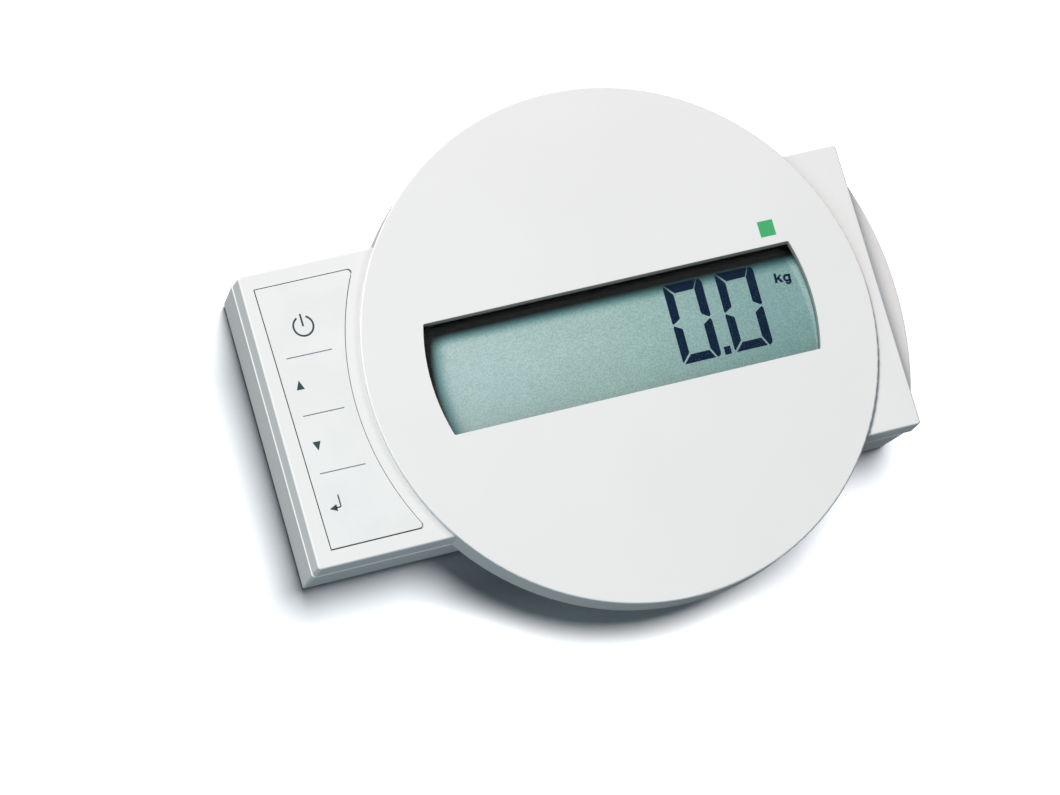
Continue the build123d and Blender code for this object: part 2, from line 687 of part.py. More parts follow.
def minus_contacts():
    """Bent leaf spring at each cell's flat end."""
    leaves = []
    for x, way in cell_places():
        reach = SPRING_L - CONTACT_T / 2
        foot = CONTACT_T / 2
        half = CONTACT_H / 2
        points = [(foot, half), (foot, -half), (reach, LEAF_SLOPE - half), (reach, LEAF_TOP)]
        points.append((reach / 2, LEAF_TOP + LEAF_RETURN))
        route = FilletPolyline(*points, radius=LEAF_BEND_R)
        leaf = extrude(Plane.YZ * trace(route, CONTACT_T), amount=CONTACT_W / 2, both=True)
        turn = Rot(0, 0, 0) if way > 0 else Rot(0, 0, 180)
        leaves.append(Pos(x, -way * BAY_L / 2, CELL_Z) * turn * leaf)
    return Compound(children=leaves)


def screw(radius, length, head_radius, head_height):
    """Screw that points up, its head's top side at the origin."""
    shank = extrude(Circle(radius), amount=length)
    head = Pos(0, 0, -head_height) * extrude(Circle(head_radius), amount=head_height)
    head = chamfer(head.faces().sort_by(Axis.Z)[0].edges(), SCREW_CHAMFER)
    return shank + head


def housing_screws():
    """Four screws that hold the rear shell to the upper shell, hidden by the pads."""
    head_z = BACK_Z + PAD_SUNK + HEAD_SINK
    length = SEAM_Z + HOUSING_BITE - head_z
    one = screw(SCREW_R, length, SCREW_HEAD_R, SCREW_HEAD_H)
    return Compound(children=[Pos(x, y, head_z) * one for x, y in PADS])


def disc_screws():
    """Four screws from behind that hold the disc on the wings."""
    head_z = SEAM_Z + SCREW_HEAD_H + HEAD_GAP
    one = screw(SCREW_R, DISC_SCREW_L, SCREW_HEAD_R, SCREW_HEAD_H)
    return Compound(children=[Pos(x, y, head_z) * one for x, y in DISC_SCREWS])


def board_screws():
    """Four small screws that hold the board under its bosses."""
    one = screw(BOARD_SCREW_R, BOARD_SCREW_L, BOARD_SCREW_HEAD_R, BOARD_SCREW_HEAD_H)
    return Compound(children=[Pos(x, y, BOARD_Z) * one for x, y in BOARD_SCREWS])


def foot_pads():
    """Four round rubber pads that the unit rests on."""
    pads = []
    for x, y in PADS:
        pad = post(x, y, PAD_D / 2, 0, BACK_Z + PAD_SUNK)
        pads.append(fillet(pad.faces().sort_by(Axis.Z)[0].edges(), PAD_EDGE_R))
    return Compound(children=pads)


def bracket_inserts():
    """Four threaded bushes pressed into the back for a wall or stand bracket."""
    bushes = []
    for x, y in INSERTS:
        bush = post(x, y, INSERT_D / 2, BACK_Z, BACK_Z + INSERT_L)
        bushes.append(bush - post(x, y, INSERT_BORE_R, BACK_Z, BACK_Z + INSERT_L))
    return Compound(children=bushes)


def all_pieces():
    """Every piece by its name."""
    pieces = {
        "front_disc": front_disc(),
        "upper_shell": upper_shell(),
        "rear_shell": rear_shell(),
        "battery_cover": battery_cover(),
        "window_lens": window_lens(),
        "lcd_frame": lcd_frame(),
        "lcd_glass": lcd_glass(),
        "backlight": backlight(),
        "zebra_strips": zebra_strips(),
        "keypad_base": keypad_base(),
        "keypad_foil": keypad_foil(),
        "key_domes": key_domes(),
        "keypad_tail": keypad_tail(),
        "tail_connector": tail_connector(),
        "main_board": main_board(),
        "processor_chip": processor_chip(),
        "capacitors": capacitors(),
        "beeper": beeper(),
        "scale_socket": scale_socket(),
        "power_jack": power_jack(),
        "battery_cells": battery_cells(),
        "plus_contacts": plus_contacts(),
        "minus_contacts": minus_contacts(),
        "housing_screws": housing_screws(),
        "disc_screws": disc_screws(),
        "board_screws": board_screws(),
        "foot_pads": foot_pads(),
        "bracket_inserts": bracket_inserts(),
    }
    for number, name in enumerate(KEY_NAMES):
        pieces[name] = key_patch(number)
    return pieces


def write(name, piece):
    """Moves a piece into the unit's own frame and writes it, its solids side by side."""
    solids = [Pos(SHIFT_X, 0, 0) * solid for solid in piece.solids()]
    whole = solids[0] if len(solids) == 1 else Compound(children=solids)
    export_step(whole, "parts/" + name + ".step")


os.makedirs("parts", exist_ok=True)
for node, shape in all_pieces().items():
    write(node, shape)
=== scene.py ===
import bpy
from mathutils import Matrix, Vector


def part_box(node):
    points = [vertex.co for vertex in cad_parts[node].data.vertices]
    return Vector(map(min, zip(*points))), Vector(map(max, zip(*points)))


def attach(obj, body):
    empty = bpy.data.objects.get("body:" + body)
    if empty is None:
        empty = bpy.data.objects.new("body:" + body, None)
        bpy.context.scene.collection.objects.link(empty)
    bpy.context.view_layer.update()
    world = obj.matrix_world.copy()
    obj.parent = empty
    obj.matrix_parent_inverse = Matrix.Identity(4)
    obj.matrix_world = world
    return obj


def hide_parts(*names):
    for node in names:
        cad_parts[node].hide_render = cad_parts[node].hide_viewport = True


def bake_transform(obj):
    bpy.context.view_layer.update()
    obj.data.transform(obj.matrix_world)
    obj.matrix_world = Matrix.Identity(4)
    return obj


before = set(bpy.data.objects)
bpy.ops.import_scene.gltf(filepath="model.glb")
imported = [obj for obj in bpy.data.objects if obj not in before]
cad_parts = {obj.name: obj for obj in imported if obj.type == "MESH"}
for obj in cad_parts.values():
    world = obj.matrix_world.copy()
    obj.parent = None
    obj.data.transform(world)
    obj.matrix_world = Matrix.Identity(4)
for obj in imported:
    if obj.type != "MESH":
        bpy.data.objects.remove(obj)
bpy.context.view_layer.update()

"""Looks of a wheelchair scale's display unit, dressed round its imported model.

The frame is the part's own, in metres: +X along the block, +Y to the top of the display
and +Z out of the front. Sizes, and places on the front from the axis of the round disc,
are given in millimetres, which is how the real unit would be drawn.
"""

import logging
import math
from dataclasses import dataclass, field
from enum import Enum
from typing import Callable, Iterable, Sequence

import bmesh
import bpy
from mathutils import Matrix, Vector

log = logging.getLogger("display_unit")

Point = tuple[float, float]
Triple = tuple[float, float, float]
Colour = tuple[float, float, float, float]

MM = 0.001
DISC_LOW, DISC_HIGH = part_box("front_disc")
AXIS = (DISC_LOW + DISC_HIGH) / 2
WHITE: Colour = (1.0, 1.0, 1.0, 1.0)
BLACK: Colour = (0.0, 0.0, 0.0, 1.0)
FULL_TURN = 360.0
# Least cosine between a face's normal and the way that it is said to look.
FACING = 0.9
# Distances in metres within which corners are merged, and count as lying on a cut.
MERGE = 0.000001
CUT_NEAR = 1e-8


def from_axis(x: float, y: float) -> Point:
    """Turns millimetres from the disc's axis into metres in the part's frame.

    Args:
        x: distance to the right of the axis.
        y: distance above the axis.

    Returns:
        The place's x and y in metres.
    """
    return AXIS.x + x * MM, AXIS.y + y * MM


def tint(red: int, green: int, blue: int) -> Colour:
    """Turns a colour as seen on a screen into the linear one that shaders take.

    Args:
        red: red from 0 to 255.
        green: green from 0 to 255.
        blue: blue from 0 to 255.

    Returns:
        The linear colour with an alpha of 1.
    """
    linear = []
    for value in (red, green, blue):
        share = value / 255
        linear.append(share / 12.92 if share <= 0.04045 else ((share + 0.055) / 1.055) ** 2.4)
    return linear[0], linear[1], linear[2], 1.0


def shade(colour: Colour, share: float, lift: float = 0.0) -> Colour:
    """Makes a linear colour darker or paler.

    Args:
        colour: the colour.
        share: what its red, green and blue are multiplied by.
        lift: what is then added to each, up to 1.

    Returns:
        The changed colour with an alpha of 1.
    """
    red, green, blue = (min(1.0, part * share + lift) for part in colour[:3])
    return red, green, blue, 1.0


# Shader wiring


class Wire:
    """One output of a material's nodes, on which plain arithmetic adds Math nodes."""

    def __init__(self, sheet: "Sheet", socket: bpy.types.NodeSocket) -> None:
        """Keeps the socket and the sheet that it belongs to."""
        self.sheet = sheet
        self.socket = socket

    def _math(self, operation: str, first: "Wire | float", second: "Wire | float") -> "Wire":
        """Adds one Math node.

        Args:
            operation: the Math node's operation.
            first: its first value.
            second: its second value.

        Returns:
            The node's result.
        """
        return self.sheet.node("ShaderNodeMath", {"operation": operation}, {0: first, 1: second})

    def __add__(self, other: "Wire | float") -> "Wire":
        """Sum of two values."""
        return self._math("ADD", self, other)

    def __radd__(self, other: "Wire | float") -> "Wire":
        """Sum with the value on the left."""
        return self._math("ADD", other, self)

    def __sub__(self, other: "Wire | float") -> "Wire":
        """Difference of two values."""
        return self._math("SUBTRACT", self, other)

    def __rsub__(self, other: "Wire | float") -> "Wire":
        """Difference from the value on the left."""
        return self._math("SUBTRACT", other, self)

    def __mul__(self, other: "Wire | float") -> "Wire":
        """Product of two values."""
        return self._math("MULTIPLY", self, other)

    def __rmul__(self, other: "Wire | float") -> "Wire":
        """Product with the value on the left."""
        return self._math("MULTIPLY", other, self)

    def __truediv__(self, other: "Wire | float") -> "Wire":
        """Quotient of two values."""
        return self._math("DIVIDE", self, other)

    def __pow__(self, other: "Wire | float") -> "Wire":
        """First value raised to the second."""
        return self._math("POWER", self, other)

    def larger(self, other: "Wire | float") -> "Wire":
        """The larger of two values."""
        return self._math("MAXIMUM", self, other)

    def size(self) -> "Wire":
        """The value without its sign."""
        return self._math("ABSOLUTE", self, 0.0)

    def waves(self, pitch: float) -> "Wire":
        """Sine of a place in metres, with one wave in each pitch of so many millimetres."""
        return self._math("SINE", self * (2 * math.pi / (pitch * MM)), 0.0)

    def far(self, other: "Wire") -> "Wire":
        """Distance from zero, with the other value square to this one."""
        return (self**2.0 + other**2.0) ** 0.5

    def about(self, middle: float, spread: float) -> "Wire":
        """A value from 0 to 1, made to swing about a middle by half the spread each way."""
        return middle + (self - 0.5) * spread

    def ramp(self, low: float, high: float) -> "Wire":
        """Smooth rise from 0 at one value to 1 at another.

        Args:
            low: the value where the rise begins.
            high: the value where it ends; below low, the rise becomes a fall.

        Returns:
            The risen value, from 0 to 1.
        """
        start, end, reverse = (low, high, False) if low < high else (high, low, True)
        settings = {"interpolation_type": "SMOOTHSTEP"}
        values = {0: self, 1: start, 2: end, 3: float(reverse), 4: float(not reverse)}
        return self.sheet.node("ShaderNodeMapRange", settings, values)


class Sheet:
    """The nodes of one material or of the world, with one method that adds any node."""

    def __init__(self, tree: bpy.types.NodeTree, output: str) -> None:
        """Empties the tree and adds its output.

        Args:
            tree: the node tree.
            output: the output node's type.
        """
        self.tree = tree
        self.tree.nodes.clear()
        self.output = self.tree.nodes.new(output)

    def node(
        self,
        kind: str,
        settings: dict[str, object],
        values: dict[int | str, object],
        out: int | str = 0,
    ) -> Wire:
        """Adds a node, sets it up and feeds its sockets.

        Args:
            kind: the node's type.
            settings: the node's own settings, which are set first.
            values: a value, or the wire to link, for each socket.
            out: which of its outputs is wanted.

        Returns:
            The wanted output.
        """
        made = self.tree.nodes.new(kind)
        for key, value in settings.items():
            setattr(made, key, value)
        for key, value in values.items():
            if isinstance(value, Wire):
                self.tree.links.new(value.socket, made.inputs[key])
            else:
                made.inputs[key].default_value = value
        return Wire(self, made.outputs[out])

    def vector(self) -> Wire:
        """Object coordinates in metres."""
        return self.node("ShaderNodeTexCoord", {}, {}, out="Object")

    def place(self) -> tuple[Wire, Wire, Wire]:
        """Object coordinates, one by one.

        Returns:
            X, Y and Z in metres.
        """
        split = self.node("ShaderNodeSeparateXYZ", {}, {0: self.vector()}).socket.node
        x, y, z = (Wire(self, output) for output in split.outputs)
        return x, y, z

    def front(self) -> tuple[Wire, Wire, Wire]:
        """Object coordinates as the front is drawn.

        Returns:
            Millimetres to the right of the disc's axis, above it and behind the disc's face.
        """
        x, y, z = self.place()
        return (x - AXIS.x) / MM, (y - AXIS.y) / MM, (DISC_HIGH.z - z) / MM

    def noise(self, grain: float, detail: float = 2.0) -> Wire:
        """Noise on the Object coordinates, whose spots are about the given size.

        Args:
            grain: size of a spot in millimetres.
            detail: how many finer layers it has.

        Returns:
            The noise from 0 to 1.
        """
        scale = 1 / (grain * MM)
        values = {"Vector": self.vector(), "Scale": scale, "Detail": detail, "Roughness": 0.5}
        return self.node("ShaderNodeTexNoise", {}, values)

    def mix(
        self,
        share: Wire | float,
        first: Wire | Colour,
        second: Wire | Colour,
        blend: str = "MIX",
    ) -> Wire:
        """Mixes two colours.

        Args:
            share: how much of the second colour is seen.
            first: the first colour.
            second: the second colour.
            blend: the Mix node's way of blending.

        Returns:
            The mixed colour.
        """
        settings = {"data_type": "RGBA", "blend_type": blend}
        return self.node("ShaderNodeMix", settings, {0: share, 6: first, 7: second}, out=2)

    def dim(self, share: Wire | float, colour: Wire, left: Triple) -> Wire:
        """Darkens a colour to what is left of its red, green and blue at a full share."""
        return self.mix(share, colour, (*left, 1.0), "MULTIPLY")

    def relief(self, height: Wire, depth: float, strength: float = 1.0) -> Wire:
        """Turns a height from 0 to 1 into bumps.

        Args:
            height: the height.
            depth: how far the bumps stand out, in millimetres.
            strength: how much of them is seen.

        Returns:
            The changed normal.
        """
        values = {"Height": height, "Distance": depth * MM, "Strength": strength}
        return self.node("ShaderNodeBump", {}, values)

    def finish(self, shader: Wire) -> None:
        """Links a shader to the output."""
        self.tree.links.new(shader.socket, self.output.inputs[0])

    def surface(self, values: dict[str, object]) -> None:
        """Ends the sheet in one Principled shader, given a value or a wire by socket."""
        self.finish(self.node("ShaderNodeBsdfPrincipled", {}, values))


# Finishes


@dataclass(frozen=True)
class Finish:
    """A finish that makes its material once and then hands out the same one."""

    name: str

    def material(self) -> bpy.types.Material:
        """The finish's material, made at its first use.

        Returns:
            The material.
        """
        title = f"{self.name}_finish"
        known = bpy.data.materials.get(title)
        if known:
            return known
        material = bpy.data.materials.new(title)
        material.use_nodes = True
        self.wire(Sheet(material.node_tree, "ShaderNodeOutputMaterial"))
        return material

    def wire(self, sheet: Sheet) -> None:
        """Wires the material; each finish has its own way."""
        raise NotImplementedError

    def dress(self, *things: bpy.types.Object) -> None:
        """Gives the objects this finish.

        Args:
            things: the objects.
        """
        for thing in things:
            if not thing.material_slots:
                thing.data.materials.append(self.material())
            for holder in thing.material_slots:
                holder.material = self.material()

    def cover(self, *names: str) -> None:
        """Gives the CAD nodes of these names this finish."""
        self.dress(*(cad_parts[name] for name in names))


@dataclass(frozen=True)
class MouldedPlastic(Finish):
    """Injection moulded plastic with a fine spark-eroded grain."""

    colour: Colour
    rough: float = 0.42
    grain: float = 0.35
    depth: float = 0.012
    cloud: float = 38.0
    mottle: float = 0.004
    gloss: float = 0.45

    def wire(self, sheet: Sheet) -> None:
        """Grain for the bumps, with broad soft changes of colour and gloss."""
        fine = sheet.noise(self.grain, 3.0)
        broad = sheet.noise(self.cloud)
        darker = shade(self.colour, 1 - 4 * self.mottle)
        sheet.surface({
            "Base Color": self.stain(sheet, sheet.mix(broad.ramp(0.3, 0.7), self.colour, darker)),
            "Roughness": broad.about(self.rough, 0.1) + fine.about(0.0, 0.06),
            "Specular IOR Level": self.gloss,
            "Normal": sheet.relief(fine, self.depth, 0.5),
        })

    def stain(self, sheet: Sheet, colour: Wire) -> Wire:
        """The plastic's colour as it is; a finish with a differing area changes it."""
        return colour


@dataclass(frozen=True)
class DiscPlastic(MouldedPlastic):
    """Plastic of the round cap, with painted shade on its rim and in its window, and painted panel
    reflection.
    """

    # Painted colours of the window's walls: their shade, and the panel's green reflected on them.
    wall_shade: Colour = (0.3, 0.3, 0.3, 1.0)
    panel: Colour = (0.1, 0.2, 0.2, 1.0)
    rim: Point = (80.1, 80.3)
    rim_depth: Point = (0.3, 0.6)
    rim_shade_left: Triple = (0.82, 0.82, 0.82)
    centre: Point = (0.8, 1.4)
    half_height: Point = (17.65, 17.55)
    end_radius: Point = (61.95, 61.85)
    wall_depth: Point = (0.2, 0.5)
    mask_shadow_share: float = 0.03
    lit_across: Point = (40.0, 50.0)
    lit_up: Point = (15.0, 10.0)
    turn_depth: float = 2.1
    lit_lift: float = 0.6
    turn_soft: float = 0.5

    def stain(self, sheet: Sheet, colour: Wire) -> Wire:
        """Painted shade on the walls inside the window, near black by the mask, with the panel's
        green painted on near its right end as reflected light.

        The rim's outer side also gets painted shade, a little darker than the face.

        Args:
            sheet: the material's nodes.
            colour: the plastic's colour elsewhere.

        Returns:
            The colour with the window's walls.
        """
        across, up, depth = sheet.front()
        # Painted shade on the rim's outer side.
        outer = across.far(up).ramp(*self.rim)
        colour = sheet.dim(outer * depth.ramp(*self.rim_depth), colour, self.rim_shade_left)
        # Painted shade on the window's walls, darkest by the mask; painted reflection of the panel
        # near its right end.
        across, up = across - self.centre[0], up - self.centre[1]
        within = up.size().ramp(*self.half_height) * across.far(up).ramp(*self.end_radius)
        right_end = across.ramp(*self.lit_across) * up.ramp(*self.lit_up)
        seen = sheet.mix(right_end, shade(self.wall_shade, self.mask_shadow_share), self.panel)
        turn = self.turn_depth - right_end * self.lit_lift
        wall_shade = sheet.mix((depth - turn).ramp(0.0, self.turn_soft), self.wall_shade, seen)
        return sheet.mix(within * depth.ramp(*self.wall_depth), colour, wall_shade)


@dataclass(frozen=True)
class ShellPlastic(MouldedPlastic):
    """Plastic of the shells, with a ring of painted shade close to the round cap's left edge."""

    ring: Point = (83.0, 80.6)
    face_depth: Point = (2.3, 1.5)
    left_across: Point = (-30.0, -55.0)
    shade_ring_left: Triple = (0.78, 0.78, 0.78)

    def stain(self, sheet: Sheet, colour: Wire) -> Wire:
        """Ring of painted shade at the cap's left edge, on the front face only.

        Args:
            sheet: the material's nodes.
            colour: the plastic's colour elsewhere.

        Returns:
            The colour with the ring of painted shade.
        """
        across, up, depth = sheet.front()
        # Painted shade in a ring round the cap's left edge, on the shell's front.
        share = across.far(up).ramp(*self.ring) * depth.ramp(*self.face_depth)
        return sheet.dim(share * across.ramp(*self.left_across), colour, self.shade_ring_left)


@dataclass(frozen=True)
class PrintedFilm(Finish):
    """Matt polyester film of the keypad, with a velvet-like texture."""

    colour: Colour
    rough: float = 0.46
    grain: float = 0.18
    depth: float = 0.004
    cloud: float = 14.0

    def wire(self, sheet: Sheet) -> None:
        """Very fine texture and a faint unevenness of the laminate under it."""
        velvet = sheet.noise(self.grain, 4.0)
        uneven = sheet.noise(self.cloud).ramp(0.35, 0.65)
        sheet.surface({
            "Base Color": sheet.mix(uneven, self.colour, shade(self.colour, 0.97)),
            "Roughness": velvet.about(self.rough, 0.12),
            "Specular IOR Level": 0.5,
            "Normal": sheet.relief(velvet, self.depth, 0.3),
        })


@dataclass(frozen=True)
class Ink(Finish):
    """Screen-printed ink, a little uneven in cover."""

    colour: Colour
    rough: float = 0.5
    gloss: float = 0.25
    grain: float = 0.12

    def wire(self, sheet: Sheet) -> None:
        """Fine speckle of the print's cover."""
        speckle = sheet.noise(self.grain, 3.0)
        paler = shade(self.colour, 1.25, 0.01)
        sheet.surface({
            "Base Color": sheet.mix(speckle.ramp(0.45, 0.75), self.colour, paler),
            "Roughness": speckle.about(self.rough, 0.1),
            "Specular IOR Level": self.gloss,
        })


@dataclass(frozen=True)
class ClearPane(Finish):
    """Clear acrylic pane of the window."""

    colour: Colour = (0.02, 0.03, 0.03, 1.0)
    alpha: float = 0.05
    wipe: float = 9.0

    def wire(self, sheet: Sheet) -> None:
        """Nearly invisible, with a trace of wiping marks in its gloss."""
        wiped = sheet.noise(self.wipe, 3.0)
        sheet.surface({
            "Base Color": self.colour,
            "Roughness": 0.06 + wiped * 0.06,
            "Alpha": self.alpha,
            "IOR": 1.49,
        })


@dataclass(frozen=True)
class NumberGlass(Finish):
    """Reflective number panel with a dark mask at top and left, and painted shadow and sheen."""

    left: Colour
    middle: Colour
    right: Colour
    mask: Colour
    left_across: Point = (-66.0, 14.0)
    right_across: Point = (-10.0, 62.0)
    # Painted sheen: a pale band near the right end, as a reflection of the window's side.
    sheen_radius: Point = (60.4, 61.6)
    sheen_across: Point = (0.0, 30.0)
    sheen_share: float = 0.58
    low_up: Point = (4.0, -12.0)
    low_left: Triple = (0.86, 0.89, 0.89)
    grain: float = 0.48
    grain_across: Point = (-70.0, 0.0)
    grain_least: float = 0.78
    grain_more: float = 0.22
    grain_left: Triple = (0.77, 0.82, 0.82)
    cloud: float = 5.0
    cloud_left: Triple = (0.96, 0.96, 0.96)
    # Painted shadow of the window's top and left sides, and its teal tint where deep.
    top_shadow_fade: Point = (15.7, 10.5)
    side_centre: Point = (0.8, -3.0)
    side_shadow_fade: Point = (60.0, 54.0)
    side_across: Point = (-40.0, 0.0)
    shadow_tint_left: Triple = (0.7, 1.0, 1.04)
    black_up: Point = (16.9, 17.4)

    def wire(self, sheet: Sheet) -> None:
        """Colour across the panel, painted sheen, fine speckle, and the mask with painted shadow.
        """
        across, up, _ = sheet.front()
        away = (across - self.side_centre[0]).far(up - self.side_centre[1])
        speckle = sheet.noise(self.grain, 1.0)
        cloud = sheet.noise(self.cloud, 3.0)
        colour = sheet.mix(across.ramp(*self.left_across), self.left, self.middle)
        colour = sheet.mix(across.ramp(*self.right_across), colour, self.right)
        # Painted sheen near the right end.
        band = away.ramp(*self.sheen_radius) * across.ramp(*self.sheen_across)
        colour = sheet.mix(band * self.sheen_share, colour, self.left)
        colour = sheet.dim(up.ramp(*self.low_up), colour, self.low_left)
        cover = across.ramp(*self.grain_across) * self.grain_more + self.grain_least
        colour = sheet.dim(speckle.ramp(0.4, 0.6) * cover, colour, self.grain_left)
        colour = sheet.dim(cloud.ramp(0.3, 0.7), colour, self.cloud_left)
        # Painted shadow of the window's top and left sides: soft, wide and tinted teal where deep.
        side = (away.ramp(*self.side_shadow_fade) ** 0.5).larger(across.ramp(*self.side_across))
        out_of_shadow = up.ramp(*self.top_shadow_fade) ** 0.5 * side
        colour = sheet.dim((1.0 - out_of_shadow).ramp(0.0, 0.5), colour, self.shadow_tint_left)
        # Dark mask beyond the shadow, partly a printed border and partly painted shade.
        mask = sheet.mix(up.ramp(*self.black_up), self.mask, BLACK)
        sheet.surface({
            "Base Color": sheet.mix(out_of_shadow, mask, colour),
            "Roughness": speckle.about(0.3, 0.1),
            "Specular IOR Level": 0.15,
        })


@dataclass(frozen=True)
class Metal(Finish):
    """Bare or plated metal with fine tool marks."""

    colour: Colour
    rough: float = 0.3
    thread: float = 0.0
    grain: float = 0.3
    depth: float = 0.06

    def wire(self, sheet: Sheet) -> None:
        """Tool marks, and rings along Z where there is a thread."""
        marks = sheet.noise(self.grain, 3.0)
        height = marks * 0.3
        if self.thread:
            height = height + sheet.place()[2].waves(self.thread) * 0.5
        sheet.surface({
            "Base Color": sheet.mix(marks.ramp(0.35, 0.7), self.colour, shade(self.colour, 0.8)),
            "Metallic": 1.0,
            "Roughness": marks.about(self.rough, 0.15),
            "Normal": sheet.relief(height, self.depth, 0.6),
        })


@dataclass(frozen=True)
class Rubber(Finish):
    """Soft rubber with a dusty surface."""

    colour: Colour
    rough: float = 0.78
    grain: float = 0.25
    depth: float = 0.03
    cloud: float = 3.0

    def wire(self, sheet: Sheet) -> None:
        """Fine pores and pale dust in soft patches."""
        pores = sheet.noise(self.grain, 4.0)
        dust = sheet.noise(self.cloud, 3.0).ramp(0.5, 0.8)
        sheet.surface({
            "Base Color": sheet.mix(dust * 0.5, self.colour, shade(self.colour, 0.7, 0.12)),
            "Roughness": pores.about(self.rough, 0.2),
            "Specular IOR Level": 0.3,
            "Normal": sheet.relief(pores, self.depth, 0.6),
        })


@dataclass(frozen=True)
class CircuitBoard(Finish):
    """Green solder mask over copper tracks."""

    mask: Colour
    track: Colour
    cell: float = 9.0
    pitches: Point = (1.3, 1.7)
    depth: float = 0.03

    def wire(self, sheet: Sheet) -> None:
        """Straight tracks along the board where a coarse cell pattern puts them."""
        x, y, _ = sheet.place()
        values = {"Vector": sheet.vector(), "Scale": 1 / (self.cell * MM)}
        chosen = sheet.node("ShaderNodeTexVoronoi", {"feature": "F1"}, values).ramp(0.42, 0.46)
        lines = y.waves(self.pitches[0]).ramp(0.55, 0.7)
        rows = x.waves(self.pitches[1]).ramp(0.55, 0.7)
        tracks = lines * chosen + rows * (1.0 - chosen)
        sheet.surface({
            "Base Color": sheet.mix(tracks * 0.6, self.mask, self.track),
            "Roughness": 0.3 + tracks * 0.08,
            "Normal": sheet.relief(tracks, self.depth, 0.5),
        })


@dataclass(frozen=True)
class JackPlastic(Finish):
    """Black plastic of the supply jack, whose centre pin is bright metal."""

    colour: Colour
    pin: Colour
    centre: Point
    pin_radius: Point
    grain: float = 0.3
    depth: float = 0.015

    def wire(self, sheet: Sheet) -> None:
        """Metal inside the pin's radius, and moulded plastic round it."""
        x, _, z = sheet.place()
        away = (x - self.centre[0]).far(z - self.centre[1])
        metal = (away / MM).ramp(*self.pin_radius)
        fine = sheet.noise(self.grain, 3.0)
        sheet.surface({
            "Base Color": sheet.mix(metal, self.colour, self.pin),
            "Metallic": metal,
            "Roughness": fine.about(0.48, 0.1) - metal * 0.22,
            "Normal": sheet.relief(fine, self.depth, 0.5),
        })


@dataclass(frozen=True)
class CellWrap(Finish):
    """Printed sleeve of a round cell, with bare metal at both ends."""

    sleeve: Colour
    band: Colour
    steel: Colour
    ends: Point = (26.4, 26.7)
    band_up: Point = (9.0, 9.4)
    grain: float = 0.4

    def wire(self, sheet: Sheet) -> None:
        """Two plain colours along the cell; the ends are left bright."""
        y = sheet.place()[1]
        metal = ((y - AXIS.y).size() / MM).ramp(*self.ends)
        sleeve = sheet.mix((y / MM).ramp(*self.band_up), self.sleeve, self.band)
        sheet.surface({
            "Base Color": sheet.mix(metal, sleeve, self.steel),
            "Metallic": metal,
            "Roughness": sheet.noise(self.grain, 3.0).about(0.28, 0.1),
        })


@dataclass(frozen=True)
class PaleFloor(Finish):
    """Floor white to the camera, keeping the unit's shadow but for painted light, and throwing
    less light back.
    """

    seen: Colour = (0.52, 0.53, 0.545, 1.0)
    bounce: Colour = (0.045, 0.045, 0.045, 1.0)
    # Patches of painted light on the floor, where the shadow is washed out.
    above: Point = (20.0, 50.0)
    below: Point = (-56.0, -74.0)
    below_across: Point = (45.0, 5.0)

    def wire(self, sheet: Sheet) -> None:
        """Painted light: paler patches above the unit and at its lower left wash its shadow out.
        """
        camera = sheet.node("ShaderNodeLightPath", {}, {}, out="Is Camera Ray")
        across, up, _ = sheet.front()
        # Painted light at the lower left; the larger of it and the patch above is shown.
        pale = up.ramp(*self.below) * across.ramp(*self.below_across)
        seen = sheet.mix(up.ramp(*self.above).larger(pale), self.seen, WHITE)
        sheet.surface({
            "Base Color": sheet.mix(camera, self.bounce, seen),
            "Roughness": 1.0,
            "Specular IOR Level": 0.0,
        })


class Palette:
    """Every finish of the unit and its floor."""

    disc = DiscPlastic(
        "white_disc",
        tint(237, 238, 237),
        # Painted shade, and painted reflection of the panel, for the window's walls.
        wall_shade=tint(152, 149, 144),
        panel=tint(92, 122, 120),
    )
    shell = ShellPlastic("white_shell", tint(238, 239, 238))
    film = PrintedFilm("keypad_film", tint(237, 239, 238))
    symbol = Ink("symbol_ink", tint(52, 70, 74))
    line = Ink("line_ink", tint(112, 126, 132))
    green = Ink("green_ink", tint(70, 172, 110), 0.4)
    digit = Ink("digit_black", tint(8, 32, 58), 0.4, 0.05)
    pane = ClearPane("clear_pane")
    glass = NumberGlass(
        "number_glass",
        left=tint(203, 229, 227),
        middle=tint(186, 217, 211),
        right=tint(153, 191, 189),
        # Dark mask, partly a printed border and partly painted shade.
        mask=tint(32, 31, 28),
    )
    bezel = MouldedPlastic("bezel_black", tint(12, 11, 10), rough=0.6, mottle=0.0, gloss=0.1)
    guide = MouldedPlastic("light_guide", tint(225, 232, 228), rough=0.25)
    strip = Rubber("contact_rubber", tint(176, 120, 122))
    laminate = PrintedFilm("laminate", tint(112, 122, 124))
    cream = MouldedPlastic("cream_plastic", tint(222, 212, 186))
    black = MouldedPlastic("black_plastic", tint(30, 30, 32), rough=0.5)
    chip = MouldedPlastic("chip_black", tint(24, 24, 26), rough=0.6)
    board = CircuitBoard("circuit_board", tint(18, 84, 46), tint(52, 128, 78))
    can = Metal("can_metal", tint(190, 190, 192), 0.35)
    spring = Metal("spring_steel", tint(214, 208, 190), 0.25)
    steel = Metal("screw_steel", tint(178, 180, 184), 0.32)
    brass = Metal("insert_brass", tint(206, 172, 96), 0.3, thread=0.7)
    gold = Metal("contact_gold", tint(230, 190, 100), 0.2)
    cell = CellWrap("cell_wrap", tint(40, 74, 110), tint(196, 200, 204), tint(200, 200, 204))
    foot = Rubber("foot_rubber", tint(92, 94, 98))
    floor = PaleFloor("pale_floor")


# Bench work


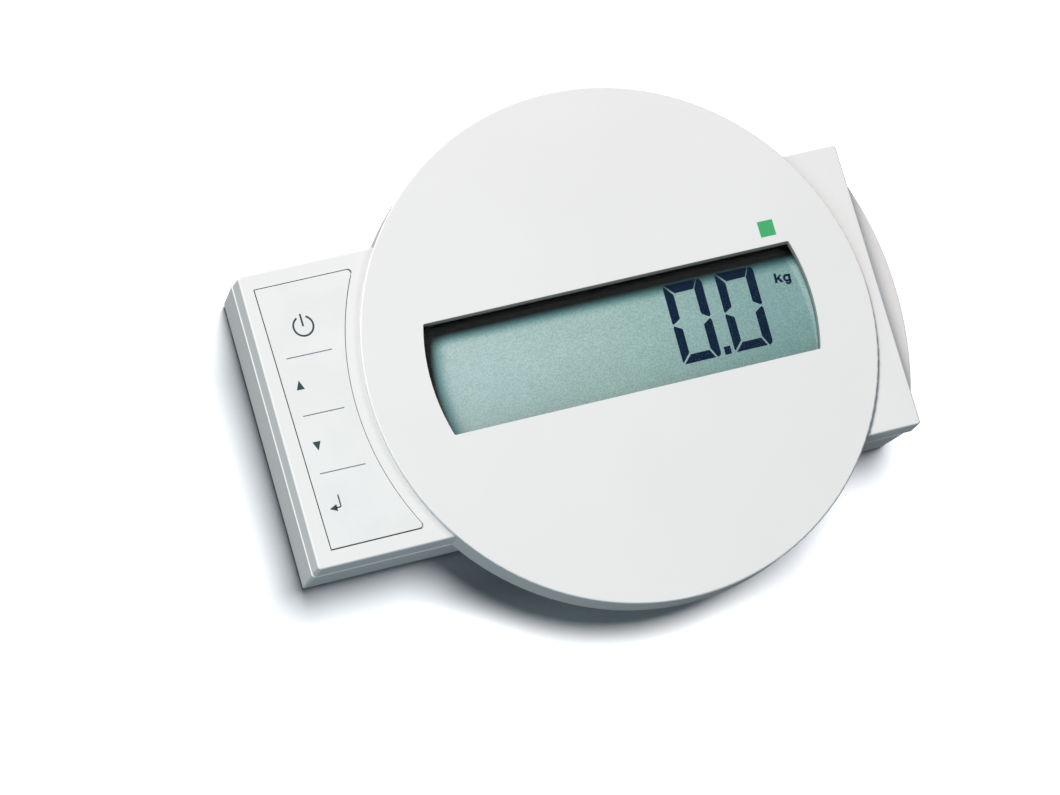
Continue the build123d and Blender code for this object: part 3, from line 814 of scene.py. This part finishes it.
class Bench:
    """Modelling steps that several sub-assemblies share."""

    @staticmethod
    def clear() -> None:
        """Leaves nothing selected, in object mode."""
        if bpy.context.object and bpy.context.object.mode != "OBJECT":
            bpy.ops.object.mode_set(mode="OBJECT")
        bpy.ops.object.select_all(action="DESELECT")

    @staticmethod
    def choose(piece: bpy.types.Object) -> None:
        """Selects one piece alone, in object mode.

        Args:
            piece: the piece.
        """
        Bench.clear()
        piece.select_set(True)
        bpy.context.view_layer.objects.active = piece

    @staticmethod
    def edit(piece: bpy.types.Object) -> None:
        """Opens a piece in edit mode with all of it selected.

        Args:
            piece: the piece.
        """
        Bench.choose(piece)
        bpy.ops.object.mode_set(mode="EDIT")
        bpy.ops.mesh.select_all(action="SELECT")

    @staticmethod
    def take(name: str) -> bpy.types.Object:
        """Names the object that an operator has just made.

        Args:
            name: the piece's name.

        Returns:
            The object.
        """
        made = bpy.context.object
        made.name = name
        made.data.name = name
        return made

    @staticmethod
    def start(name: str, add: Callable[..., object], **sizes: object) -> bpy.types.Object:
        """Adds a primitive, whose place goes into its mesh, and opens it in edit mode.

        Args:
            name: the piece's name.
            add: the operator that adds the primitive.
            sizes: what the operator is given.

        Returns:
            The piece, with its object at the origin.
        """
        Bench.clear()
        add(**sizes)
        piece = Bench.take(name)
        Bench.choose(piece)
        bpy.ops.object.transform_apply(location=True, rotation=True, scale=True)
        Bench.edit(piece)
        return piece

    @staticmethod
    def outward(piece: bpy.types.Object) -> None:
        """Merges doubles, turns all faces outwards and leaves edit mode.

        Args:
            piece: the piece.
        """
        Bench.edit(piece)
        bpy.ops.mesh.remove_doubles(threshold=MERGE)
        bpy.ops.mesh.normals_make_consistent(inside=False)
        bpy.ops.object.mode_set(mode="OBJECT")

    @staticmethod
    def modify(piece: bpy.types.Object, kind: str, settings: dict[str, object]) -> None:
        """Adds a modifier and applies it.

        Args:
            piece: the piece.
            kind: the modifier's type.
            settings: its settings.
        """
        Bench.choose(piece)
        added = piece.modifiers.new(kind.lower(), kind)
        for key, value in settings.items():
            setattr(added, key, value)
        bpy.ops.object.modifier_apply(modifier=added.name)

    @staticmethod
    def pick(piece: bpy.types.Object, test: Callable[[bmesh.types.BMFace], bool]) -> None:
        """Selects the faces that a test chooses, in edit mode.

        Args:
            piece: the piece, open in edit mode.
            test: says whether a face is chosen.
        """
        bpy.ops.mesh.select_mode(type="FACE")
        bpy.ops.mesh.select_all(action="DESELECT")
        mesh = bmesh.from_edit_mesh(piece.data)
        for face in mesh.faces:
            face.select_set(test(face))
        bmesh.update_edit_mesh(piece.data)

    @staticmethod
    def pick_facing(piece: bpy.types.Object, way: Triple) -> None:
        """Selects the faces of a piece in edit mode that look nearly straight one way."""
        Bench.pick(piece, lambda face: face.normal.dot(Vector(way)) > FACING)

    @staticmethod
    def pull(way: Sequence[float]) -> None:
        """Extrudes what is selected by a step in metres."""
        bpy.ops.mesh.extrude_region_move(TRANSFORM_OT_translate={"value": way})

    @staticmethod
    def join(name: str, pieces: Iterable[bpy.types.Object]) -> bpy.types.Object:
        """Makes one piece of several.

        Args:
            name: the joined piece's name.
            pieces: the pieces.

        Returns:
            The joined piece.
        """
        listed = list(pieces)
        Bench.choose(listed[0])
        for piece in listed[1:]:
            piece.select_set(True)
        bpy.ops.object.join()
        return Bench.take(name)

    @staticmethod
    def copy(piece: bpy.types.Object, name: str, shift: Vector) -> bpy.types.Object:
        """Copies a piece with its own mesh, set off by a distance.

        Args:
            piece: the piece to copy.
            name: the copy's name.
            shift: how far the copy stands from it, in metres.

        Returns:
            The copy.
        """
        twin = piece.copy()
        twin.data = piece.data.copy()
        bpy.context.scene.collection.objects.link(twin)
        twin.name = name
        twin.data.name = name
        twin.data.transform(Matrix.Translation(shift))
        return twin


def stroke(start: Point, end: Point, width: float) -> list[Point]:
    """Corners of a straight line with square ends.

    Args:
        start: where it begins, in millimetres.
        end: where it ends, in millimetres.
        width: its width in millimetres.

    Returns:
        Its four corners.
    """
    first, last = Vector(start), Vector(end)
    along = (last - first).normalized()
    square = Vector((-along.y, along.x)) * width / 2
    corners = (first + square, first - square, last - square, last + square)
    return [tuple(corner) for corner in corners]


def oblong(left: float, low: float, width: float, height: float) -> list[Point]:
    """Corners of an upright oblong.

    Args:
        left: its left edge in millimetres.
        low: its lower edge in millimetres.
        width: its width in millimetres.
        height: its height in millimetres.

    Returns:
        Its four corners.
    """
    return [(left, low), (left + width, low), (left + width, low + height), (left, low + height)]


# Sub-assemblies


@dataclass
class Housing:
    """The moulded shells, which keep their CAD shapes."""

    def dress(self) -> None:
        """Gives each shell its finish."""
        Palette.disc.cover("front_disc")
        Palette.shell.cover("upper_shell", "rear_shell", "battery_cover")
        log.info("housing dressed")


@dataclass
class Prints:
    """Thin flat shapes that lie on the front of a CAD node."""

    carrier: str
    print_height: float
    ring_points: int = 120
    pieces: list[bpy.types.Object] = field(default_factory=list)

    def level(self) -> float:
        """Front of the node that carries the shapes, in metres."""
        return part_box(self.carrier)[1].z

    def top(self) -> float:
        """Front of the shapes in metres."""
        return self.level() + self.print_height * MM

    def shape(self, name: str, corners: Sequence[Point]) -> bpy.types.Object:
        """Convex shape, sawn out of a block with one straight cut for each side.

        Args:
            name: the shape's name.
            corners: its corners in millimetres from the disc's axis.

        Returns:
            The shape.
        """
        low, high = self.level(), self.top()
        places = [Vector((*from_axis(*corner), low)) for corner in corners]
        sides = list(zip(places, [*places[1:], places[0]]))
        middle = sum(places, Vector()) / len(places)
        reach = 3 * max((place - middle).length for place in places)
        middle.z = (low + high) / 2
        sizes = {"size": 1, "location": middle, "scale": (reach, reach, high - low)}
        piece = Bench.start(name, bpy.ops.mesh.primitive_cube_add, **sizes)
        hand = math.copysign(1.0, sum(start.cross(end).z for start, end in sides))
        for start, end in sides:
            along = (end - start) * hand
            bpy.ops.mesh.select_all(action="SELECT")
            cut = {"plane_co": start, "plane_no": (along.y, -along.x, 0), "threshold": CUT_NEAR}
            bpy.ops.mesh.bisect(**cut, use_fill=True, clear_outer=True)
        Bench.outward(piece)
        return piece

    def bow(
        self,
        name: str,
        centre: Point,
        outer: float,
        width: float,
        span: Point = (0.0, FULL_TURN),
    ) -> bpy.types.Object:
        """Ring, or the part of one between two angles.

        Args:
            name: the shape's name.
            centre: its centre in millimetres from the disc's axis.
            outer: its outer radius in millimetres.
            width: its width in millimetres.
            span: its first and last angle in degrees, from +X and turning to +Y.

        Returns:
            The shape.
        """
        place = Vector((*from_axis(*centre), self.level()))
        sizes = {"vertices": self.ring_points, "radius": outer * MM, "fill_type": "NGON"}
        piece = Bench.start(name, bpy.ops.mesh.primitive_circle_add, **sizes, location=place)
        bpy.ops.mesh.inset(thickness=width * MM)
        bpy.ops.mesh.delete(type="FACE")
        start, end = span

        def outside(face: bmesh.types.BMFace) -> bool:
            """Whether a face lies outside the span."""
            away = face.calc_center_median() - place
            return (math.degrees(math.atan2(away.y, away.x)) - start) % FULL_TURN > end - start

        Bench.pick(piece, outside)
        bpy.ops.mesh.delete(type="FACE")
        bpy.ops.mesh.select_all(action="SELECT")
        Bench.pull((0, 0, self.top() - self.level()))
        Bench.outward(piece)
        return piece

    def lay(self, piece: bpy.types.Object, ink: Finish, body: str = "housing") -> None:
        """Dresses a shape and sets it on its body.

        Args:
            piece: the shape.
            ink: its finish.
            body: the body that it moves with.
        """
        ink.dress(piece)
        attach(piece, body)
        self.pieces.append(piece)


class Key(Enum):
    """The keypad's four keys, by body, in rows from the lowest."""

    ENTER = "key_enter"
    DOWN = "key_down"
    UP = "key_up"
    POWER = "key_power"


@dataclass
class Keypad(Prints):
    """Membrane keypad: one film laid in strips, with plain signs printed on it."""

    carrier: str = "keypad_foil"
    print_height: float = 0.015
    left: float = -104.3
    lean: float = 0.95
    half_height: float = 40.5
    raised: float = 0.09
    arc_radius: float = 84.85
    corner: float = 1.1
    pitch: float = 18.0
    give_from: float = 9.0
    give_to: float = 6.3
    film: float = 0.12
    columns: int = 8
    key_rows: int = 30
    end_rows: int = 40
    power_centre: Point = (-93.6, 26.8)
    power_radius: float = 3.33
    power_width: float = 0.58
    power_gap: Point = (118.0, 422.0)
    power_bar: tuple[Point, ...] = ((-93.70, 30.6), (-93.66, 26.7))
    up_sign: tuple[Point, ...] = ((-100.82, 8.18), (-98.30, 8.12), (-99.52, 11.05))
    down_sign: tuple[Point, ...] = ((-99.33, -10.9), (-98.02, -8.13), (-100.58, -8.07))
    return_width: float = 0.4
    return_shaft: tuple[Point, ...] = ((-97.42, -25.0), (-97.42, -28.4))
    return_corner: Point = (-97.77, -28.4)
    return_radius: float = 0.55
    return_span: Point = (270.0, 360.0)
    return_foot: tuple[Point, ...] = ((-97.77, -28.75), (-99.2, -28.75))
    return_head: tuple[Point, ...] = ((-100.9, -28.75), (-98.6, -29.85), (-98.6, -27.65))
    line_width: float = 0.32
    line_drop: float = 0.07
    lines: tuple[Triple, ...] = (
        (18.1, -101.3, -87.1),
        (0.08, -101.1, -88.3),
        (-17.85, -100.9, -86.8),
    )

    def left_edge(self, y: float) -> float:
        """Left edge of the film at a height in millimetres; it leans a little."""
        return self.left - y * math.tan(math.radians(self.lean))

    def right_edge(self, y: float) -> float:
        """Right edge of the film at a height: an arc with a rounded corner at each end.

        Args:
            y: height in millimetres.

        Returns:
            The edge's place in millimetres.
        """
        centre_y = self.half_height - self.corner
        centre_r = self.arc_radius + self.corner
        meets = centre_y * self.arc_radius / centre_r
        if abs(y) <= meets:
            return -math.sqrt(self.arc_radius**2 - y * y)
        centre_x = -math.sqrt(centre_r**2 - centre_y**2)
        return centre_x + math.sqrt(max(0.0, self.corner**2 - (abs(y) - centre_y) ** 2))

    def strip(self, name: str, ends: Iterable[float], rows: int) -> bpy.types.Object:
        """Part of the film between two heights.

        Args:
            name: the strip's name.
            ends: its lower and upper edge in millimetres, in any order.
            rows: how many rows of faces it has.

        Returns:
            The strip.
        """
        low, high = sorted(ends)
        Bench.clear()
        grid = {"x_subdivisions": self.columns, "y_subdivisions": rows, "size": 1}
        bpy.ops.mesh.primitive_grid_add(**grid)
        piece = Bench.take(name)
        for vertex in piece.data.vertices:
            along, up = vertex.co.x + 0.5, vertex.co.y + 0.5
            y = low + (high - low) * up
            left, right = self.left_edge(y), self.right_edge(y - self.raised)
            x = left + (right - left) * along
            vertex.co = Vector((*from_axis(x, y), self.level() - self.film * MM))
        Bench.edit(piece)
        Bench.pull((0, 0, self.film * MM))
        Bench.outward(piece)
        Palette.film.dress(piece)
        self.pieces.append(piece)
        return piece

    def build_film(self) -> None:
        """Lays the film in strips that meet edge to edge."""
        for row, key in enumerate(Key):
            centre = (row - (len(Key) - 1) / 2) * self.pitch
            x, y = from_axis(self.left, centre)
            for side, word in ((-1, "lower"), (1, "upper")):
                ends = (centre, centre + side * self.give_from)
                name = f"film_{key.value.removeprefix('key_')}_{word}"
                piece = self.strip(name, ends, self.key_rows)
                start = (x, y + side * self.give_from * MM, self.level())
                end = (x, y + side * self.give_to * MM, self.level())
                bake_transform(piece)
                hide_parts(key.value)
        for side, word in ((-1, "low"), (1, "high")):
            edge = side * len(Key) / 2 * self.pitch
            ends = (edge, self.raised + side * self.half_height)
            piece = self.strip(f"film_{word}_end", ends, self.end_rows)
            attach(piece, "housing")
            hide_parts("keypad_foil")

    def build_power_sign(self) -> None:
        """Open ring with a bar in its gap, on the power key."""
        width = self.power_width
        ring = self.bow("power_ring", self.power_centre, self.power_radius, width, self.power_gap)
        bar = self.shape("power_bar", stroke(*self.power_bar, width))
        self.lay(Bench.join("power_sign", [ring, bar]), Palette.symbol, Key.POWER.value)

    def build_return_sign(self) -> None:
        """Arrow that comes down and turns to the left, on the enter key."""
        width = self.return_width
        bend = (self.return_corner, self.return_radius, width, self.return_span)
        shapes = [
            self.shape("return_shaft", stroke(*self.return_shaft, width)),
            self.bow("return_corner", *bend),
            self.shape("return_foot", stroke(*self.return_foot, width)),
            self.shape("return_head", self.return_head),
        ]
        self.lay(Bench.join("return_sign", shapes), Palette.symbol, Key.ENTER.value)

    def build_signs(self) -> None:
        """Prints the power sign, the two triangles, the return arrow and the dividing lines."""
        self.build_power_sign()
        self.lay(self.shape("up_sign", self.up_sign), Palette.symbol, Key.UP.value)
        self.lay(self.shape("down_sign", self.down_sign), Palette.symbol, Key.DOWN.value)
        self.build_return_sign()
        for number, (y, low, high) in enumerate(self.lines, start=1):
            ends = ((low, y + self.line_drop), (high, y - self.line_drop))
            line = self.shape(f"divider_{number}", stroke(*ends, self.line_width))
            self.lay(line, Palette.line)

    def build(self) -> None:
        """Builds the keypad and dresses the layers under its film."""
        self.build_film()
        self.build_signs()
        Palette.laminate.cover("keypad_base", "keypad_tail")
        Palette.spring.cover("key_domes")
        Palette.cream.cover("tail_connector")
        log.info("keypad built: %d pieces", len(self.pieces))


class Bar(Enum):
    """Six lit bars of a nought: corners in millimetres from the digit's lower left corner."""

    TOP = ((0.5, 25.2), (10.85, 25.1), (9.5, 22.3), (3.3, 22.2))
    UPPER_LEFT = (
        (0, 24.65), (0.3, 24.85), (2.7, 22.0), (2.85, 21.65), (2.8, 14.25), (2.5, 13.95),
        (0.3, 12.7), (0, 13.1),
    )
    UPPER_RIGHT = (
        (11.15, 25.05), (12.0, 24.9), (12.45, 24.3), (12.65, 23.6), (12.65, 13.2),
        (12.1, 12.75), (9.95, 14.1), (9.75, 14.6), (9.75, 22.25),
    )
    LOWER_LEFT = (
        (0.35, 12.25), (2.6, 10.95), (2.8, 10.5), (2.8, 3.3), (0.25, 0.6), (0, 0.95), (0, 11.8),
    )
    LOWER_RIGHT = (
        (12.1, 12.3), (12.6, 11.65), (12.62, 1.2), (12.35, 0.45), (11.55, -0.1), (11.2, 0.2),
        (9.7, 3.1), (9.7, 10.8),
    )
    BASE = ((3.1, 2.7), (9.25, 2.7), (10.7, 0), (0.5, 0))


@dataclass
class NumberPanel(Prints):
    """Number panel behind the window, with two shown digits, a point and the unit."""

    carrier: str = "lcd_glass"
    print_height: float = 0.02
    digit_places: tuple[Point, ...] = ((18.0, -10.35), (35.06, -10.32))
    digit_slant: float = 0.021
    point_place: Point = (31.82, -10.34)
    point_size: Point = (2.15, 2.52)
    letter_place: Point = (54.0, 7.8)
    letter_slant: float = 0.06
    stem: tuple[float, ...] = (-0.09, 0.0, 0.8, 3.08)
    arm: tuple[Point, ...] = ((0.5, 0.6), (2.52, 2.32), (1.6, 2.32), (0.5, 1.38))
    leg: tuple[Point, ...] = ((0.8, 1.3), (1.64, -0.04), (2.6, -0.04), (1.4, 1.85))
    bowl_centre: Point = (57.98, 8.72)
    bowl_radius: float = 1.24
    bowl_width: float = 0.704
    hook_centre: Point = (58.1, 7.7)
    hook_radius: float = 1.1
    hook_width: float = 0.68
    hook_span: Point = (200.0, 360.0)
    side: tuple[Point, ...] = ((0.42, -1.05), (1.18, -1.05), (1.28, 1.1), (0.52, 1.1))
    layer: float = 0.003

    def slanted(
        self,
        name: str,
        place: Point,
        corners: Sequence[Point],
        slant: float,
    ) -> bpy.types.Object:
        """Flat shape that leans.

        Args:
            name: the shape's name.
            place: its lower left corner in millimetres from the disc's axis.
            corners: its corners in millimetres from there.
            slant: how far it leans to the right for each millimetre of height.

        Returns:
            The shape.
        """
        moved = [(place[0] + x + slant * y, place[1] + y) for x, y in corners]
        return self.shape(name, moved)

    def build_digits(self) -> None:
        """Two slanted noughts, the first from its bars and the second as its copy, and a point."""
        first, second = (Vector(from_axis(*place)).to_3d() for place in self.digit_places)
        slant = self.digit_slant
        bars = [
            self.slanted(bar.name.lower(), self.digit_places[0], bar.value, slant) for bar in Bar
        ]
        digit = Bench.join("digit_1", bars)
        self.lay(digit, Palette.digit)
        self.lay(Bench.copy(digit, "digit_2", second - first), Palette.digit)
        point = oblong(0, 0, *self.point_size)
        self.lay(self.slanted("digit_point", self.point_place, point, slant), Palette.digit)

    def build_unit(self) -> None:
        """The unit sign beside the digits, its letters made of plain strokes and bows."""
        place, slant = self.letter_place, self.letter_slant
        bowl = (self.bowl_centre, self.bowl_radius, self.bowl_width)
        hook = (self.hook_centre, self.hook_radius, self.hook_width)
        shapes = [
            self.slanted("unit_stem", place, oblong(*self.stem), slant),
            self.slanted("unit_arm", place, self.arm, slant),
            self.slanted("unit_leg", place, self.leg, slant),
            self.bow("unit_bowl", *bowl),
            self.bow("unit_hook", *hook, self.hook_span),
            self.slanted("unit_side", self.bowl_centre, self.side, slant),
        ]
        for number, shape in enumerate(shapes):
            shape.data.transform(Matrix.Translation((0, 0, number * self.layer * MM)))
        self.lay(Bench.join("unit_sign", shapes), Palette.digit)

    def build(self) -> None:
        """Builds the signs and dresses the panel."""
        self.build_digits()
        self.build_unit()
        Palette.glass.cover("lcd_glass")
        Palette.pane.cover("window_lens")
        Palette.bezel.cover("lcd_frame")
        Palette.guide.cover("backlight")
        Palette.strip.cover("zebra_strips")
        log.info("number panel built: %d pieces", len(self.pieces))


@dataclass
class GreenMark(Prints):
    """Plain green square above the window."""

    carrier: str = "front_disc"
    print_height: float = 0.03
    place: Point = (52.0, 21.65)
    side: float = 5.0

    def build(self) -> None:
        """Builds the square."""
        corners = oblong(*self.place, self.side, self.side)
        self.lay(self.shape("green_mark", corners), Palette.green)
        log.info("green mark built")


@dataclass
class Screws:
    """Cross-head screws that close the housing and hold the disc, heads to the back.

    A set is a node's name, the columns that its screws stand in, and how far they stand
    above and below the disc's axis.
    """

    head_radius: float = 2.8
    head_height: float = 1.8
    shaft_radius: float = 1.5
    around: int = 48
    edge: float = 0.6
    edge_steps: int = 5
    smooth_angle: float = 30.0
    slot_length: float = 3.3
    slot_width: float = 0.85
    slot_depth: float = 1.1
    slot_end: float = 0.55
    sets: tuple[tuple[str, Point, float], ...] = (
        ("disc_screws", (-30.0, 30.0), 62.8),
        ("housing_screws", (-99.0, 76.0), 36.5),
    )

    def screw(self, name: str, place: Vector, length: float) -> bpy.types.Object:
        """One screw with its shaft.

        Args:
            name: the screw's name.
            place: middle of the head's outer face, in metres.
            length: length of the whole screw in metres.

        Returns:
            The screw.
        """
        tall = self.head_height * MM
        sizes = {"vertices": self.around, "radius": self.head_radius * MM, "depth": tall}
        sizes["location"] = place + Vector((0, 0, tall / 2))
        piece = Bench.start(name, bpy.ops.mesh.primitive_cylinder_add, **sizes)
        Bench.pick_facing(piece, (0, 0, 1))
        bpy.ops.mesh.inset(thickness=(self.head_radius - self.shaft_radius) * MM)
        Bench.pull((0, 0, length - tall))
        Bench.pick_facing(piece, (0, 0, -1))
        bpy.ops.mesh.bevel(offset=self.edge * MM, segments=self.edge_steps, affect="EDGES")
        for sides in ((self.slot_length, self.slot_width), (self.slot_width, self.slot_length)):
            self.cut_slot(piece, place, sides)
        Bench.outward(piece)
        bpy.ops.object.shade_smooth_by_angle(angle=math.radians(self.smooth_angle))
        return piece

    def cut_slot(self, piece: bpy.types.Object, place: Vector, sides: Point) -> None:
        """Cuts one slot of the cross, which narrows towards its floor.

        Args:
            piece: the screw.
            place: middle of the head's outer face, in metres.
            sides: the slot's length along X and along Y in millimetres.
        """
        sizes = {"size": 1, "location": place, "scale": Vector((*sides, 2 * self.slot_depth)) * MM}
        cutter = Bench.start("slot_cutter", bpy.ops.mesh.primitive_cube_add, **sizes)
        Bench.pick_facing(cutter, (0, 0, 1))
        bpy.ops.transform.resize(value=(self.slot_end, self.slot_end, 1), center_override=place)
        cut = {"operation": "DIFFERENCE", "object": cutter, "solver": "EXACT"}
        Bench.modify(piece, "BOOLEAN", cut)
        bpy.data.objects.remove(cutter)

    def build(self) -> None:
        """Builds one screw of each set and sets its copies at the four corners."""
        for node, columns, row in self.sets:
            low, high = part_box(node)
            corners = [Vector((*from_axis(x, y), low.z)) for x in columns for y in (-row, row)]
            screws = [self.screw(f"{node}_1", corners[0], high.z - low.z)]
            for number, corner in enumerate(corners[1:], start=2):
                shift = corner - corners[0]
                screws.append(Bench.copy(screws[0], f"{node}_{number}", shift))
            for screw in screws:
                Palette.steel.dress(screw)
                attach(screw, "housing")
                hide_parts(node)
        log.info("screws built")


@dataclass
class SocketContacts:
    """Row of sprung wires in the socket for the platform's lead."""

    count: int = 8
    pitch: float = 1.02
    width: float = 0.4
    thick: float = 0.3
    length: float = 8.4
    tail: Triple = (0.0, -1.2, -0.8)
    rise: float = 17.0
    from_mouth: float = 1.6
    floor_height: float = 2.8

    def build(self) -> None:
        """Builds one wire, leans it and copies it along the socket."""
        low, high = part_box("scale_socket")
        heel = Vector(((low.x + high.x) / 2, high.y, low.z))
        heel += Vector((0, -self.from_mouth, self.floor_height)) * MM
        heel.x -= (self.count - 1) / 2 * self.pitch * MM
        middle = heel + Vector((0, -self.length / 2, self.thick / 2)) * MM
        scale = Vector((self.width, self.length, self.thick)) * MM
        sizes = {"size": 1, "location": middle, "scale": scale}
        wire = Bench.start("wire", bpy.ops.mesh.primitive_cube_add, **sizes)
        Bench.pick_facing(wire, (0, -1, 0))
        Bench.pull(Vector(self.tail) * MM)
        bpy.ops.object.mode_set(mode="OBJECT")
        lean = Matrix.Rotation(-math.radians(self.rise), 4, "X")
        wire.data.transform(Matrix.Translation(heel) @ lean @ Matrix.Translation(-heel))
        Bench.outward(wire)
        step = Vector((self.pitch * MM, 0, 0))
        wires = [wire] + [Bench.copy(wire, f"wire_{i}", step * i) for i in range(1, self.count)]
        row = Bench.join("socket_contacts", wires)
        Palette.gold.dress(row)
        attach(row, "housing")
        log.info("socket contacts built")


@dataclass
class Inside:
    """Electronics and battery bay, dressed as they are."""

    jack_centre: Point = (28.5, 14.7)
    jack_pin: Point = (1.3, 1.1)

    def dress(self) -> None:
        """Gives each inner node its finish."""
        Palette.board.cover("main_board")
        Palette.chip.cover("processor_chip", "beeper")
        Palette.can.cover("capacitors")
        Palette.black.cover("scale_socket")
        Palette.cell.cover("battery_cells")
        Palette.spring.cover("plus_contacts", "minus_contacts")
        Palette.steel.cover("board_screws")
        Palette.foot.cover("foot_pads")
        Palette.brass.cover("bracket_inserts")
        x, z = self.jack_centre
        colours = (tint(30, 30, 32), tint(205, 205, 200))
        centre = (from_axis(x, 0)[0], z * MM)
        JackPlastic("jack_black", *colours, centre, self.jack_pin).cover("power_jack")
        log.info("inner pieces dressed")


# Studio


class Reach(Enum):
    """What a lamp lights, as the floor's part in its light group."""

    UNIT = "EXCLUDE"
    FLOOR = "INCLUDE"


@dataclass(frozen=True)
class SoftLamp:
    """Round lamp that lights the unit and leaves the floor alone."""

    name: str
    toward: Triple
    distance: float
    angle: float
    level: float
    colour: Triple = (1.0, 1.0, 1.0)
    reach: Reach = Reach.UNIT

    def light(self, fall: float) -> bpy.types.Light:
        """Makes the lamp's light.

        Args:
            fall: how steeply it falls on the front; 1 is square to it.

        Returns:
            The light.
        """
        light = bpy.data.lights.new(f"{self.name}_lamp", "AREA")
        light.shape = "DISK"
        light.size = 2 * self.distance * math.tan(math.radians(self.angle / 2))
        light.energy = self.level * (math.pi * self.distance) ** 2 / fall
        return light

    def hang(self, floor: bpy.types.Object) -> None:
        """Hangs the lamp so that it shines at the unit and isn't seen in its gloss.

        Args:
            floor: the floor, which the lamp lights alone or not at all.
        """
        toward = Vector(self.toward)
        light = self.light(toward.normalized().z)
        light.color = self.colour
        holder = bpy.data.objects.new(light.name, light)
        face = Vector((AXIS.x, AXIS.y, DISC_HIGH.z))
        holder.location = face + toward.normalized() * self.distance
        holder.rotation_euler = toward.to_track_quat("Z", "Y").to_euler()
        holder.visible_glossy = False
        bpy.context.scene.collection.objects.link(holder)
        group = bpy.data.collections.new(f"{holder.name}_reach")
        group.objects.link(floor)
        group.collection_objects[0].light_linking.link_state = self.reach.value
        holder.light_linking.receiver_collection = group


@dataclass(frozen=True)
class FloorLamp(SoftLamp):
    """Lamp that lights the floor alone, where it gives the unit's shadow."""

    reach: Reach = Reach.FLOOR

    def light(self, fall: float) -> bpy.types.Light:
        """Makes the lamp's light.

        Args:
            fall: how steeply it falls on the floor; 1 is square to it.

        Returns:
            The light.
        """
        light = bpy.data.lights.new(f"{self.name}_lamp", "SUN")
        light.angle = math.radians(self.angle)
        light.energy = self.level * math.pi / fall
        return light


@dataclass
class Studio:
    """Pale floor, key and fill lamp, a lamp for the floor alone, a dim sky and the camera."""

    floor_size: float = 12.0
    lamps: tuple[SoftLamp, ...] = (
        SoftLamp("key", (-0.42, 1.0, 1.0), 3.0, 21.0, 0.775, (1.0, 0.918, 0.88)),
        SoftLamp("fill", (-1.1, -0.75, 0.8), 1.2, 40.0, 0.18, (0.78, 0.95, 1.0)),
        FloorLamp("floor", (0.18, 0.21, 1.0), 3.0, 31.0, 2.15),
    )
    sky_colour: Colour = (0.6, 0.83, 1.0, 1.0)
    sky_level: float = 0.16
    lens: float = 142.4
    sensor: float = 36.0
    clip: Point = (0.05, 50.0)
    camera_place: Triple = (-378.15, -232.27, 1183.91)
    camera_turns: Triple = (-0.2291890, 0.2439406, -0.2300469)

    def build_floor(self) -> bpy.types.Object:
        """Lays the floor that the unit rests on.

        Returns:
            The floor.
        """
        Bench.clear()
        bpy.ops.mesh.primitive_plane_add(size=self.floor_size, location=(0, 0, 0))
        floor = Bench.take("floor")
        Palette.floor.dress(floor)
        return floor

    def build_sky(self) -> None:
        """Even dim sky that is white where the camera, gloss or glass shows it."""
        world = bpy.data.worlds.new("sky")
        bpy.context.scene.world = world
        world.use_nodes = True
        sheet = Sheet(world.node_tree, "ShaderNodeOutputWorld")
        even, white = (
            sheet.node("ShaderNodeBackground", {}, {"Color": colour, "Strength": level})
            for colour, level in ((self.sky_colour, self.sky_level), (WHITE, 1.0))
        )
        seen, gloss, glass = (
            sheet.node("ShaderNodeLightPath", {}, {}, out=f"Is {ray} Ray")
            for ray in ("Camera", "Glossy", "Transmission")
        )
        share = seen.larger(gloss).larger(glass)
        sheet.finish(sheet.node("ShaderNodeMixShader", {}, {0: share, 1: even, 2: white}))

    def build_camera(self) -> None:
        """Camera where the photograph was taken from, measured from the disc's face."""
        data = bpy.data.cameras.new("camera")
        data.lens = self.lens
        data.sensor_width = self.sensor
        data.clip_start, data.clip_end = self.clip
        camera = bpy.data.objects.new("camera", data)
        about_z, about_x, about_y = self.camera_turns
        turn = Matrix.Rotation(about_z, 4, "Z") @ Matrix.Rotation(about_x, 4, "X")
        turn = turn @ Matrix.Rotation(about_y, 4, "Y")
        x, y, z = (part * MM for part in self.camera_place)
        camera.matrix_world = Matrix.Translation((AXIS.x + x, AXIS.y + y, DISC_HIGH.z + z)) @ turn
        bpy.context.scene.collection.objects.link(camera)
        bpy.context.scene.camera = camera

    def build(self) -> None:
        """Builds the whole studio."""
        bpy.context.scene.view_settings.view_transform = "Standard"
        floor = self.build_floor()
        for lamp in self.lamps:
            lamp.hang(floor)
        self.build_sky()
        self.build_camera()
        log.info("studio built")


def main() -> None:
    """Builds every sub-assembly in order and reports it."""
    logging.basicConfig(level=logging.INFO, format="%(name)s: %(message)s")
    Studio().build()
    Housing().dress()
    Keypad().build()
    NumberPanel().build()
    GreenMark().build()
    Screws().build()
    SocketContacts().build()
    Inside().dress()


if __name__ == "__main__":
    main()
